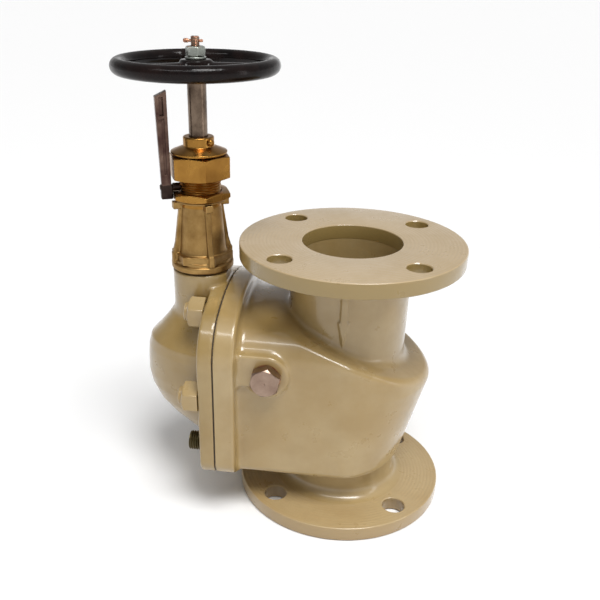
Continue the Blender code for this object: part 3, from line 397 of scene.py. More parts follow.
def bonnet_field(x, y, z):
    """Distance to the bonnet casting: socket end, ring, hexagon, ribbed cone and collar."""
    u = x - STEM_X
    around = disc(u, y, 0.0)
    spigot = meet(around - 16.0, slab(z, SOCKET_Z + 0.3, 204.0))
    ring = round_max(around - 25.5, slab(z, 201.8, 207.0), 1.2)
    under = meet(around - 23.4, slab(z, 205.0, 209.5))
    base = round_max(hexagon(u, y, 44.0, BONNET_CORNER), slab(z, 207.8, 215.0), 0.6)
    taper = profile_at(z, (214.0, 217.0, 222.0, 256.5), (20.6, 19.7, 19.1, 16.2))
    cone = meet(around - taper, slab(z, 213.0, 257.5))
    collar = round_max(around - 20.0, slab(z, 256.6, 258.4), 0.6)
    reach = profile_at(z, (206.0, 215.0, 217.0, 224.0, 252.5), (25.6, 25.6, 24.4, 22.4, 18.2))
    bore = profile_at(z, (170.0, 192.0, 194.5, 227.0, 228.5, 260.0), (11.5, 11.5, 9.3, 9.3, 10.5, 10.5))
    shape = blend_min(cone, collar, 1.5)
    for quarter in range(4):
        along, across = rotated(u, y, RIB_DIRECTION + quarter * pi / 2)
        rib = meet(round_max(np.abs(across) - 2.2, along - reach, 0.5), -along)
        shape = blend_min(shape, meet(rib, slab(z, 207.3, 253.0)), 1.0)
        tab = meet(round_max(np.abs(across) - 3.1, along - 23.0, 0.4), -along)
        shape = blend_min(shape, round_max(tab, slab(z, 251.4, 257.2), 0.5), 0.4)
    shape = blend_min(shape, base, 1.2)
    shape = blend_min(shape, blend_min(ring, under, 0.8), 0.8)
    return meet(join(shape, spigot), bore - around)


def arm_field(x, y, z):
    """Distance to the flap's rocking arm: hinge eye, bar to the flap, tail with its pad and weight."""
    tail_x = HINGE_X - 65.2
    weight_z = 100.0
    side = np.abs(y)
    along, deep = rotated(x - VALVE_X, SEAT_PLANE - z, SLOPE)
    hinge = round_max(disc(x - HINGE_X, z - HINGE_Z, 10.2), side - 18.0, 1.2)
    bar = round_max(round_max(side - 9.0, slab(deep, 27.4, 34.6), 1.5), slab(along, -50.0, 6.0), 1.0)
    eye = round_max(disc(along - SEAT_SHIFT, y, 13.5), slab(deep, 26.9, 35.1), 1.0)
    tail = round_max(side - 8.0, slab(z, HINGE_Z - 7.0, HINGE_Z + 6.5), 2.0)
    tail = meet(tail, slab(x, tail_x, HINGE_X))
    pad = round_max(disc(x - tail_x, z - HINGE_Z, 8.0), side - 8.5, 1.0)
    leg = round_max(side - 7.0, slab(x, tail_x + 1.0, tail_x + 13.0), 2.0)
    leg = round_max(leg, slab(z, weight_z, HINGE_Z), 1.0)
    weight = round_max(disc(x - tail_x - 1.0, z - weight_z, 14.5), side - 17.0, 2.0)
    shape = blend_min(blend_min(blend_min(hinge, bar, 3.0), eye, 2.0), tail, 3.0)
    shape = blend_min(blend_min(shape, pad, 1.0), blend_min(leg, weight, 3.0), 2.5)
    shape = meet(shape, -disc(x - HINGE_X, z - HINGE_Z, PIN_HOLE_R))
    return meet(shape, -meet(disc(along - SEAT_SHIFT, y, 6.4), 20.0 - deep))


# Meshes
def new_object(name, data):
    """An object in the scene that holds a mesh, a light or a camera."""
    made = bpy.data.objects.new(name, data)
    SCENE.collection.objects.link(made)
    return made


def mesh_object(name, points, faces):
    """An object from points in mm and equal-sized faces."""
    points = np.asarray(points, np.float64) * MM
    faces = np.asarray(faces, np.int64)
    size = faces.shape[1]
    mesh = bpy.data.meshes.new(name)
    mesh.vertices.add(len(points))
    mesh.vertices.foreach_set("co", points.astype(F32).ravel())
    mesh.loops.add(faces.size)
    mesh.loops.foreach_set("vertex_index", faces.astype(np.int32).ravel())
    mesh.polygons.add(len(faces))
    mesh.polygons.foreach_set("loop_start", np.arange(0, faces.size, size, dtype=np.int32))
    mesh.polygons.foreach_set("loop_total", np.full(len(faces), size, np.int32))
    mesh.update(calc_edges=True)
    mesh.validate()
    return new_object(name, mesh)


def mesh_box(name, low, high):
    """A box between two corners, as a mesh."""
    points = [(x, y, z) for z in (low[2], high[2]) for x, y in
              ((low[0], low[1]), (high[0], low[1]), (high[0], high[1]), (low[0], high[1]))]
    faces = [(3, 2, 1, 0), (4, 5, 6, 7), (0, 1, 5, 4), (1, 2, 6, 5), (2, 3, 7, 6), (3, 0, 4, 7)]
    return mesh_object(name, points, faces)


def surface_net(values, origin, step):
    """Points and quads of the zero surface of a grid of distances."""
    inside = values < 0
    size = tuple(n - 1 for n in values.shape)
    corners = [(i, j, k) for i in (0, 1) for j in (0, 1) for k in (0, 1)]
    count = np.zeros(size, np.int8)
    for corner in corners:
        count += inside[tuple(slice(o, o + n) for o, n in zip(corner, size))]
    place = np.argwhere((count > 0) & (count < 8))
    ids = np.full(size, -1, np.int64)
    ids[tuple(place.T)] = np.arange(len(place))
    total = np.zeros((len(place), 3))
    hits = np.zeros(len(place))
    for a, axis in [(corner, axis) for corner in corners for axis in range(3) if not corner[axis]]:
        b = list(a)
        b[axis] = 1
        fa, fb = values[tuple((place + a).T)], values[tuple((place + b).T)]
        crosses = (fa < 0) != (fb < 0)
        point = np.array(a, float)[None, :].repeat(len(place), 0)
        point[:, axis] = np.where(crosses, fa / np.where(fa == fb, 1.0, fa - fb), 0.0)
        total[crosses] += point[crosses]
        hits += crosses
    points = (place + total / hits[:, None]) * step + origin
    quads = []
    for axis in range(3):
        p, q = (axis + 1) % 3, (axis + 2) % 3
        here = [slice(1, n) for n in size]
        there = list(here)
        here[axis], there[axis] = slice(0, size[axis]), slice(1, size[axis] + 1)
        starts, ends = inside[tuple(here)], inside[tuple(there)]
        for leaving, turn in ((starts & ~ends, 1), (~starts & ends, -1)):
            ring = []
            for dp, dq in ((1, 1), (0, 1), (0, 0), (1, 0)):
                near = np.argwhere(leaving)
                near[:, p] += dp
                near[:, q] += dq
                ring.append(ids[tuple(near.T)])
            quads.append(np.stack(ring[::turn], 1))
    quads = np.concatenate(quads)
    return points, quads[(quads >= 0).all(1)]


def cast(name, field, low, high, step):
    """A casting: the surface net of a distance field, with its points drawn onto the true surface."""
    margin, slab_layers, nudge = 2.5 * step, 24, 0.05
    low = np.asarray(low, float) - margin
    count = np.ceil((np.asarray(high, float) + margin - low) / step).astype(int)
    x, y, z = [(low[i] + step * np.arange(count[i])).astype(F32) for i in range(3)]
    layers = [field(x[:, None, None], y[None, :, None], part[None, None, :])
              for part in np.array_split(z, max(1, count[2] // slab_layers))]
    values = np.concatenate([np.broadcast_to(v, (*count[:2], v.shape[2])) for v in layers], 2)
    points, quads = surface_net(values, low, step)
    for _ in range(2):
        x, y, z = points.T
        here = field(x, y, z)
        slopes = np.stack([field(x + nudge, y, z) - here, field(x, y + nudge, z) - here,
                           field(x, y, z + nudge) - here], 1) / nudge
        steepness = np.maximum((slopes ** 2).sum(1), 0.25)
        points = points + slopes * np.clip(-here / steepness, -0.5 * step, 0.5 * step)[:, None]
    return mesh_object(name, points, quads)


def rounded(profile, radius, steps=3, closed=False):
    """A polygon of (r, z) points with its corners rounded."""
    points = [np.array(p, float) for p in profile]
    out = []
    for i, here in enumerate(points):
        if not closed and i in (0, len(points) - 1):
            out.append(tuple(here))
            continue
        sides = [points[i - 1] - here, points[(i + 1) % len(points)] - here]
        lengths = [np.linalg.norm(side) for side in sides]
        cut = min(radius, *(0.45 * length for length in lengths))
        start, end = [here + side / length * cut for side, length in zip(sides, lengths)]
        for s in range(steps + 1):
            t = s / steps
            out.append(tuple((1 - t) ** 2 * start + 2 * t * (1 - t) * here + t ** 2 * end))
    return out


def turned(name, radius, height, closed=False, start=0.0):
    """A surface of revolution from grids of radius and height, one row to a profile point."""
    count, steps = radius.shape
    angles = start + np.arange(steps) * tau / steps
    points = np.stack([radius * np.cos(angles), radius * np.sin(angles), height], 2).reshape(-1, 3)
    i, j = np.meshgrid(np.arange(count if closed else count - 1), np.arange(steps), indexing="ij")
    k, m = (i + 1) % count, (j + 1) % steps
    faces = np.stack([i * steps + j, i * steps + m, k * steps + m, k * steps + j], 2).reshape(-1, 4)
    return clean(mesh_object(name, points, faces))


def revolve(name, profile, steps=96, closed=False):
    """Revolve (r, z) points about Z."""
    grid = np.array(profile, float)[:, :, None].repeat(steps, 2)
    return turned(name, grid[:, 0], grid[:, 1], closed)


def revolve_ring(name, profile, corner, arc_steps, steps):
    """Revolve a closed section with rounded corners about Z."""
    return revolve(name, rounded(profile, corner, arc_steps, closed=True), steps, closed=True)


def clean(item):
    """Merge points that coincide and drop the faces that vanish with them."""
    work = bmesh.new()
    work.from_mesh(item.data)
    bmesh.ops.remove_doubles(work, verts=work.verts, dist=MERGE_DISTANCE)
    bmesh.ops.dissolve_degenerate(work, dist=MERGE_DISTANCE, edges=work.edges)
    bmesh.ops.recalc_face_normals(work, faces=work.faces)
    work.to_mesh(item.data)
    work.free()
    return item


def nut(name, flats, low, high, bore, corner=0.0, both=True, chamfer=2.0, edge=0.35):
    """A hexagon nut: chamfered ends, flats and a bore with a small countersink."""
    tip = flats / sqrt(3) + NUT_OVERSIZE
    face = flats / 2 - NUT_FACE_INSET
    sink = bore + COUNTERSINK
    foot = [(sink, low), (face, low), (tip, low + chamfer)] if both else [(sink, low), (tip, low)]
    profile = foot + [(tip, high - chamfer), (face, high), (sink, high), (bore, high - COUNTERSINK),
                      (bore, low + COUNTERSINK)]
    sector = pi / 3
    turn = (np.arange(NUT_STEPS) * tau / NUT_STEPS + sector / 2) % sector - sector / 2
    cap = flats / 2 / np.cos(np.abs(turn) - sector / 2)
    grid = np.array(profile)[:, :, None].repeat(NUT_STEPS, 2)
    radius, height = grid[:, 0], grid[:, 1]
    drop = np.maximum(cap - face, 0.0) * chamfer / (tip - face)
    upper = height > (low + high) / 2
    cut = np.where(upper, high - drop, low + drop * both)
    made = turned(name, np.minimum(radius, cap), np.where(radius > cap, cut, height), True, corner)
    return soften(made, edge, NUT_EDGE_ANGLE)


def soften(item, width, angle, segments=2):
    """Bevel sharp edges, as a modifier kept on the piece."""
    bevel = item.modifiers.new("edges", "BEVEL")
    bevel.width = width * MM
    bevel.segments = segments
    bevel.limit_method = "ANGLE"
    bevel.angle_limit = radians(angle)
    return item


def threaded(name, profile, pitch, depth, span, steps=72, rows_per_turn=10):
    """A turned bar whose surface carries a helical thread between the two heights of span."""
    rows = []
    for (r0, z0), (r1, z1) in zip(profile, profile[1:]):
        run = abs(z1 - z0)
        upright = run > pitch * SHORTEST_THREAD and abs(r1 - r0) < TINY
        parts = max(1, int(run / pitch * rows_per_turn)) if upright else 1
        rows += [(r0 + (r1 - r0) * k / parts, z0 + (z1 - z0) * k / parts) for k in range(parts)]
    grid = np.array(rows + [profile[-1]])[:, :, None].repeat(steps, 2)
    radius, height = grid[:, 0], grid[:, 1]
    turns = np.arange(steps) / steps
    wave = np.abs(((height / pitch - turns) % 1.0) * 2.0 - 1.0)
    ease = np.clip(np.minimum(height - span[0], span[1] - height) / (0.5 * pitch), 0.0, 1.0)
    cut = depth * np.clip(wave * THREAD_SLOPE - THREAD_CREST, 0.0, 1.0) * ease
    return turned(name, np.where(radius > TINY, radius - cut, radius), height)


def lay(item, turn, x, y, z):
    """Turn an upright piece and move its foot to the given point, in mm."""
    item.data.transform(Matrix.Translation((x * MM, y * MM, z * MM)) @ turn)
    return item


def shift(item, x=0.0, y=0.0, z=0.0):
    """Move a piece's mesh, in mm."""
    return lay(item, Matrix.Identity(4), x, y, z)


def along_x(item, x, y, z):
    """Lay an upright piece along -X with its z=0 end at the given point."""
    return lay(item, Matrix.Rotation(-pi / 2, 4, "Y"), x, y, z)


def along_y(item, x, y, z, side):
    """Lay an upright piece along +Y or -Y with its z=0 end at the given point."""
    return lay(item, Matrix.Rotation(-side * pi / 2, 4, "X"), x, y, z)


def subtract(item, tool):
    """Cut a tool from a piece, apply the result and drop the tool."""
    step = item.modifiers.new("cut", "BOOLEAN")
    step.operation = "DIFFERENCE"
    step.solver = "EXACT"
    step.object = tool
    graph = bpy.context.evaluated_depsgraph_get()
    result = bpy.data.meshes.new_from_object(item.evaluated_get(graph))
    item.modifiers.remove(step)
    item.data = result
    bpy.data.objects.remove(tool, do_unlink=True)


# Materials
def fill(node, **values):
    """Set a node's inputs; an underscore in a name stands for a space."""
    for name, value in values.items():
        node.inputs[name.replace("_", " ")].default_value = value
    return node


class Graph:
    """A node tree under construction, with helpers for the nodes that the looks share."""

    def __init__(self, tree, coordinates):
        self.tree = tree
        self.where = tree.nodes.new("ShaderNodeTexCoord").outputs[coordinates]

    def node(self, kind, **values):
        """A new node with some inputs set."""
        return fill(self.tree.nodes.new(kind), **values)

    def link(self, source, target):
        """Join an output to an input."""
        self.tree.links.new(source, target)

    def span(self, source, low, high, from_low=0.0, from_high=1.0, smooth=False):
        """Map a value's range to another."""
        node = self.node("ShaderNodeMapRange", To_Min=low, To_Max=high, From_Min=from_low,
                         From_Max=from_high)
        if smooth:
            node.interpolation_type = "SMOOTHSTEP"
        self.link(source, node.inputs["Value"])
        return node.outputs["Result"]

    def axis(self, name):
        """One of the coordinates."""
        node = self.node("ShaderNodeSeparateXYZ")
        self.link(self.where, node.inputs[0])
        return node.outputs[name]


class Look(Graph):
    """A material under construction: a Principled shader and what feeds it."""

    def __init__(self, name, metallic, roughness, coat=0.0, coat_roughness=0.1):
        self.material = bpy.data.materials.new(name)
        self.material.use_nodes = True
        super().__init__(self.material.node_tree, "Object")
        self.shader = self.tree.nodes["Principled BSDF"]
        fill(self.shader, Metallic=metallic, Roughness=roughness, Coat_Weight=coat,
             Coat_Roughness=coat_roughness)

    def mapped(self, **values):
        """The object's own coordinates, moved or stretched."""
        node = self.node("ShaderNodeMapping", **values)
        self.link(self.where, node.inputs["Vector"])
        return node.outputs["Vector"]

    def noise(self, scale, detail=3.0, roughness=0.55, stretch=None):
        """Noise over the object's own coordinates, with features of about 1/scale metres."""
        node = self.node("ShaderNodeTexNoise", Scale=scale, Detail=detail, Roughness=roughness)
        self.link(self.mapped(Scale=stretch) if stretch else self.where, node.inputs["Vector"])
        return node.outputs["Fac"]

    def mix(self, share, a, b):
        """Mix two colours; each may be a socket or a colour."""
        node = self.node("ShaderNodeMix")
        node.data_type = "RGBA"
        for socket, value in ((node.inputs[0], share), (node.inputs[6], a), (node.inputs[7], b)):
            if isinstance(value, bpy.types.NodeSocket):
                self.link(value, socket)
            else:
                socket.default_value = (*value, 1.0)
        return node.outputs[2]

    def openness(self, distance, samples=6):
        """From 0 in crevices to 1 in the open, within a distance in mm."""
        node = self.node("ShaderNodeAmbientOcclusion", Distance=distance * MM)
        node.samples = samples
        return node.outputs["AO"]

    def rings(self, centre, scale):
        """Fine turned grooves around an upright axis at the given x."""
        node = self.node("ShaderNodeTexWave", Scale=scale, Distortion=0.4)
        node.wave_type = "RINGS"
        node.rings_direction = "Z"
        self.link(self.mapped(Location=(-centre * MM, 0.0, 0.0)), node.inputs["Vector"])
        return node.outputs["Fac"]

    def bump(self, *layers):
        """Bump from (source, distance in mm, strength) layers."""
        normal = None
        for source, distance, strength in layers:
            node = self.node("ShaderNodeBump", Distance=distance * MM, Strength=strength)
            self.link(source, node.inputs["Height"])
            if normal is not None:
                self.link(normal, node.inputs["Normal"])
            normal = node.outputs["Normal"]
        self.link(normal, self.shader.inputs["Normal"])

    def finish(self, colour, rough, *layers):
        """Feed the base colour, the roughness and the bump; the finished material."""
        self.link(colour, self.shader.inputs["Base Color"])
        self.link(rough, self.shader.inputs["Roughness"])
        self.bump(*layers)
        return self.material


def paint_look(name, light, dark, grain, face=None, rim=None):
    """Thick beige paint: lumps, grain, hollows darkened as painted shade and, on a flange, a turned face
    above an upright rim painted darker as shade.
    """
    look = Look(name, 0.0, 0.36, coat=0.8, coat_roughness=0.12)
    broad = look.noise(14.0, 4.0, 0.6)
    cloud = look.noise(46.0, 5.0, 0.6)
    fine = look.noise(420.0, 3.0, 0.6)
    lumps = look.noise(150.0, 3.0, 0.5)
    base = look.mix(look.span(broad, 0.0, 1.0, 0.38, 0.62), dark, light)
    tint = look.mix(look.span(cloud, 0.0, 0.30, 0.45, 0.70), base, tuple(c * 0.86 for c in dark))
    # Painted shade: below the flange's face, the upright rim takes the darker rim colour.
    if face is not None:
        turned = look.span(look.axis("Z"), 0.0, 1.0, (face - 1.0) * MM, (face - 0.3) * MM)
        tint = look.mix(turned, rim, tint)
    # Painted shade: the colour darkens towards a deeper brown in crevices and hollows.
    hollow = look.span(look.openness(9.0, 16), 0.5, 0.0, 0.35, 0.95)
    colour = look.mix(hollow, tint, tuple(c * s for c, s in zip(dark, (0.72, 0.62, 0.42))))
    rough = look.span(cloud, 0.26, 0.44, 0.35, 0.65)
    layers = [(broad, 0.6, 0.25), (lumps, 0.16 * grain, 0.5), (fine, 0.05 * grain, 0.45)]
    if face is not None:
        layers.append((look.rings(VALVE_X, RING_SCALE), 0.25, 0.5))
    return look.finish(colour, rough, *layers)


def metal_look(name, light, dark, hollow_colour, rough, scale, scratch=None, grain=0.0):
    """Bare metal: mottled colour, darker hollows, uneven polish and tool marks."""
    look = Look(name, 1.0, (rough[0] + rough[1]) / 2)
    cloud = look.noise(scale, 5.0, 0.62)
    speck = look.noise(scale * 9.0, 3.0, 0.6)
    base = look.mix(look.span(cloud, 0.0, 1.0, 0.36, 0.66), light, dark)
    # The colour darkens towards the hollow colour in crevices and hollows.
    hollow = look.span(look.openness(2.5), 0.85, 0.0, 0.30, 0.95)
    layers = [(speck, 0.02 + grain, 0.35)]
    if scratch is not None:
        layers.append((look.noise(scratch[3], 2.0, 0.5, stretch=scratch[:3]), 0.02, 0.35))
    return look.finish(look.mix(hollow, base, hollow_colour), look.span(cloud, *rough, 0.34, 0.66), *layers)


def enamel_look(name):
    """Black enamel with a few dull patches and fine dust."""
    look = Look(name, 0.0, 0.2)
    fill(look.shader, Specular_IOR_Level=0.17)
    cloud = look.noise(55.0, 4.0, 0.6)
    patches = look.span(cloud, 0.0, 1.0, 0.40, 0.75)
    colour = look.mix(patches, (0.003, 0.002, 0.002), (0.012, 0.006, 0.005))
    ripple, dust = look.noise(95.0, 3.0, 0.5), look.noise(900.0, 2.0, 0.7)
    rough = look.span(cloud, 0.10, 0.28, 0.35, 0.72)
    return look.finish(colour, rough, (ripple, 0.6, 0.5), (dust, 0.02, 0.25))


def rubber_look(name, colour, scale):
    """Dull sheet or packing with a fine fibre grain."""
    look = Look(name, 0.0, 0.8)
    fibre = look.noise(scale, 4.0, 0.7)
    mixed = look.mix(look.span(fibre, 0.0, 1.0, 0.3, 0.7), colour, tuple(c * 1.8 for c in colour))
    return look.finish(mixed, look.span(fibre, 0.65, 0.92), (fibre, 0.08, 0.5))


# Light and dark colour, grain and, on a flange, the height of its turned face and the rim's colour, which
# is darker as painted shade.
PAINTS = {
    "beige_paint": ((0.380, 0.274, 0.126), (0.320, 0.212, 0.074), 1.0),
    # Painted shade: the cover's paint is the body's beige made darker.
    "cover_paint_shaded": ((0.325, 0.226, 0.088), (0.265, 0.170, 0.048), 1.0),
    # Painted light: the flanges' paints are lighter than the body's beige where their faces catch the
    # light.
    "inlet_paint_lit_and_shaded": ((0.470, 0.355, 0.210), (0.425, 0.310, 0.165), 0.45, TOP_Z, (0.270, 0.185, 0.060)),
    "outlet_paint_lit_and_shaded": ((0.410, 0.300, 0.150), (0.370, 0.255, 0.115), 0.45, FLANGE_T, (0.335, 0.228, 0.095)),
}
# Record slot, light and dark colours, the colour its hollows darken to, range of roughness, scale, then
# tool marks and grain.
METALS = {
    "cast_bronze": ("bronze", (0.38, 0.235, 0.085), (0.26, 0.150, 0.050), (0.16, 0.095, 0.035),
                    (0.34, 0.52), 70.0, None, 0.06),
    "brass": ("bright_brass", (0.40, 0.205, 0.045), (0.29, 0.140, 0.030), (0.30, 0.15, 0.04),
              (0.22, 0.36), 45.0, (1.0, 1.0, 14.0, 90.0)),
    "steel": ("polished_steel", (0.25, 0.185, 0.135), (0.060, 0.040, 0.028), (0.10, 0.07, 0.05),
              (0.16, 0.28), 40.0, (1.0, 1.0, 0.06, 260.0)),
    "lever_steel": ("polished_steel", (0.19, 0.125, 0.095), (0.06, 0.030, 0.026), (0.05, 0.025, 0.02),
                    (0.24, 0.42), 50.0, (1.0, 1.0, 0.2, 300.0)),
    "dark_steel": ("dark_steel", (0.050, 0.034, 0.028), (0.02, 0.012, 0.011), (0.012, 0.007, 0.006),
                   (0.30, 0.50), 90.0),
    "olive_steel": ("dark_steel", (0.20, 0.165, 0.085), (0.12, 0.095, 0.045), (0.04, 0.03, 0.012),
                    (0.36, 0.55), 120.0),
    "plug_steel": ("zinc_plate", (0.36, 0.26, 0.20), (0.27, 0.185, 0.14), (0.22, 0.13, 0.07),
                   (0.26, 0.40), 80.0, (6.0, 1.0, 6.0, 160.0)),
    "zinc": ("zinc_plate", (0.60, 0.63, 0.58), (0.40, 0.43, 0.38), (0.10, 0.11, 0.09), (0.24, 0.40), 110.0),
    "copper": ("copper", (0.62, 0.31, 0.20), (0.40, 0.17, 0.10), (0.12, 0.04, 0.025), (0.22, 0.38), 130.0),
}
LOOKS = {name: (paint_look(name, *row), "beige_paint") for name, row in PAINTS.items()}
LOOKS.update({name: (metal_look(name, *row[1:]), row[0]) for name, row in METALS.items()})
LOOKS["black_enamel"] = enamel_look("black_enamel"), "black_enamel"
LOOKS["gasket"] = rubber_look("gasket_sheet", (0.030, 0.022, 0.016), 500.0), "gasket_rubber"
LOOKS["packing"] = rubber_look("packing", (0.05, 0.05, 0.05), 700.0), "gasket_rubber"


def dress(item, look, *nodes, body="valve", slot=None, smooth=38.0):
    """Give a piece its material, its body and the CAD nodes it stands for; the record slot is not used."""
    material, usual_slot = LOOKS[look]
    item.data.materials.clear()
    item.data.materials.append(material)
    item.data.shade_smooth()
    item.data.set_sharp_from_angle(angle=radians(smooth))
    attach(item, body)
    if nodes:
        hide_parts(*nodes)


# Castings
def make_flange(name, low, high):
    """A pipe flange as machined: rounded rim, bolt holes and the bore."""
    bore = BORE_R - 0.15
    flange = revolve_ring(name, [(bore, low), (FLANGE_R, low), (FLANGE_R, high), (bore, high)], 1.1, 4, 192)
    shift(flange, VALVE_X)
    edge, past = 0.7, 1.0
    wide = BOLT_R + edge + past
    hole = [(0.0, low - past), (wide, low - past), (BOLT_R, low + edge), (BOLT_R, high - edge),
            (wide, high + past), (0.0, high + past)]
    for quarter in range(4):
        angle = radians(45.0 + 90.0 * quarter)
        cutter = revolve("cutter", hole, 64)
        shift(cutter, VALVE_X + BOLT_CIRCLE_R * cos(angle), BOLT_CIRCLE_R * sin(angle))
        subtract(flange, cutter)
    return flange


def make_castings():
    """Body, its two pipe flanges, and the cover."""
    body = cast("body_casting", body_field, BODY_LOW, BODY_HIGH, CAST_STEP)
    dress(body, "beige_paint", "body", smooth=60.0)
    # The flanges' paints are lit copies of the beige with shaded rims, and the cover's paint is a shaded
    # copy: painted light and shade.
    dress(make_flange("inlet_flange", TOP_Z - FLANGE_T, TOP_Z), "inlet_paint_lit_and_shaded")
    dress(make_flange("outlet_flange", 0.0, FLANGE_T), "outlet_paint_lit_and_shaded")
    cover = cast("cover_casting", cover_field, COVER_LOW, COVER_HIGH, CAST_STEP)
    dress(cover, "cover_paint_shaded", "cover", smooth=60.0)


def make_stud(node, look, place, radius, corner, depth, thread, steps):
    """A stud along X with a thread of the given depth over its outer end."""
    low, high = box_mm(node)
    length = high[0] - low[0]
    profile = rounded([(0.0, 0.0), (radius, 0.0), (radius, length), (0.0, length)], *corner)
    bar = threaded(f"{node}_bar", profile, STUD_PITCH, depth, (length - thread, length), steps)
    dress(along_x(bar, high[0], *place), look, node)


def make_cover_fasteners():
    """Painted studs with their nuts, and the two bare studs below."""
    upper = [(side * y, z) for y, z in STUDS[:2] for side in (-1, 1)]
    for number, place in enumerate(upper, 1):
        make_stud(f"cover_stud_{number}", "beige_paint", place, 8.0, (1.6, 4), 0.35, 6.0, 64)
        node = f"cover_nut_{number}"
        low, high = box_mm(node)
        hexed = nut(f"{node}_hex", 24.0, 0.0, high[0] - low[0], 8.35, both=False, chamfer=2.2, edge=0.7)
        dress(along_x(hexed, high[0], *place), "beige_paint", node)
    for name, side in (("front", -1), ("rear", 1)):
        place = side * STUDS[2][0], STUDS[2][1]
        make_stud(f"lower_stud_{name}", "olive_steel", place, 7.95, (1.0, 3), 1.05, 22.0, 72)


def make_hinge_plugs():
    """The hexagon plugs over the hinge pin's ends, with their washers."""
    for name, side in (("front", -1), ("rear", 1)):
        tip = max(abs(corner[1]) for corner in box_mm(f"hinge_plug_{name}"))
        root, top = sorted(abs(corner[1]) for corner in box_mm(f"plug_washer_{name}"))
        section = [(8.3, root), (11.4, root), (11.4, top), (8.3, top)]
        washer = revolve_ring(f"plug_seal_{name}", section, 0.3, 2, 72)
        dress(along_y(washer, HINGE_X, 0.0, HINGE_Z, side), "copper", f"plug_washer_{name}")
        head = nut(f"plug_{name}", 22.0, top + 0.3, tip, 0.0, PLUG_CORNER, False, 2.6, 0.3)
        dress(along_y(head, HINGE_X, 0.0, HINGE_Z, side), "plug_steel", f"hinge_plug_{name}")


def make_bonnet():
    """The bonnet casting and the threaded neck above it."""
    low, high = box_mm("bonnet")
    casting = cast("bonnet_casting", bonnet_field, low, (high[0], high[1], 258.5), BONNET_STEP)
    dress(casting, "cast_bronze", "bonnet", smooth=50.0)
    inner, outer, pocket = 10.5, 16.5, 12.0
    foot, pocket_z, top = 251.5, 271.7, high[2]
    profile = [(inner, foot), (outer, foot), (outer, top), (pocket, top), (pocket, pocket_z),
               (inner, pocket_z), (inner, foot)]
    neck = threaded("bonnet_neck", profile, 2.0, 1.0, (259.2, top - 0.5), steps=96)
    dress(shift(neck, STEM_X), "brass", slot="bronze")


def make_gland():
    """Jam nut, gland nut, stop collar and its set screw."""
    for name, node, bore, chamfer in (("jam_hex", "jam_nut", 16.8, 1.8),
                                      ("gland_hex", "gland_nut", STEM_R + 0.6, 1.1)):
        low, high = box_mm(node)
        hexed = nut(name, GLAND_FLATS, low[2], high[2], bore, GLAND_CORNER, chamfer=chamfer)
        dress(shift(hexed, STEM_X), "brass", node)
    base = box_mm("stop_collar")[0][2]
    bore = STEM_R + 0.3
    profile = [(bore, 0.0), (21.2, 0.0), (22.0, 0.7), (22.0, 1.9), (13.4, 5.3), (12.3, 5.6), (12.0, 6.3),
               (12.0, 12.3), (11.3, 13.0), (bore, 13.0)]
    collar = revolve_ring("collar", profile, 0.5, 3, 128)
    dress(shift(collar, STEM_X, 0.0, base), "brass", "stop_collar", body="spindle")
    profile = [(0.0, 8.0), (2.0, 8.0), (2.0, 12.2), (2.7, 12.2), (2.7, 14.0), (1.6, 15.2), (0.0, 15.2)]
    screw = revolve("collar_screw", rounded(profile, 0.9, 4), 40)
    subtract(screw, mesh_box("slot", (-4.0, -0.45, 14.6), (4.0, 0.45, 16.0)))
    turn = Matrix.Rotation(COLLAR_SCREW_TURN, 4, "Z") @ Matrix.Rotation(pi / 2, 4, "Y")
    dress(lay(screw, turn, STEM_X, 0.0, base + 9.3), "brass", "collar_set_screw", body="spindle")


def make_stem():
    """The polished stem with its thread below, wheel seat and threaded tip."""
    low, high = box_mm("stem")
    foot, top = low[2], high[2]
    seat, shoulder, tip_foot = HUB_LOW - 0.3, HUB_HIGH - 1.0, HUB_HIGH + 8.0
    profile = [(0.0, foot), (5.0, foot), (5.0, 158.0), (9.0, 158.0), (9.0, 227.0), (STEM_R, 228.0),
               (STEM_R, seat), (6.0, seat), (6.0, shoulder), (TIP_R, shoulder), (TIP_R, top - 0.8),
               (TIP_R - 0.8, top), (0.0, top)]
    stem = threaded("spindle_bar", profile, 5.0, 1.4, (158.5, 227.0), steps=96, rows_per_turn=14)
    dress(shift(stem, STEM_X), "steel", "stem", body="spindle")
    radius, end = TIP_R + 0.1, top - 0.05
    profile = rounded([(0.0, tip_foot), (radius, tip_foot), (radius, end), (0.0, end)], 0.8, 3)
    tip = threaded("spindle_tip", profile, 1.0, 0.45, (tip_foot, top), steps=64)
    dress(shift(tip, STEM_X), "copper", body="spindle")


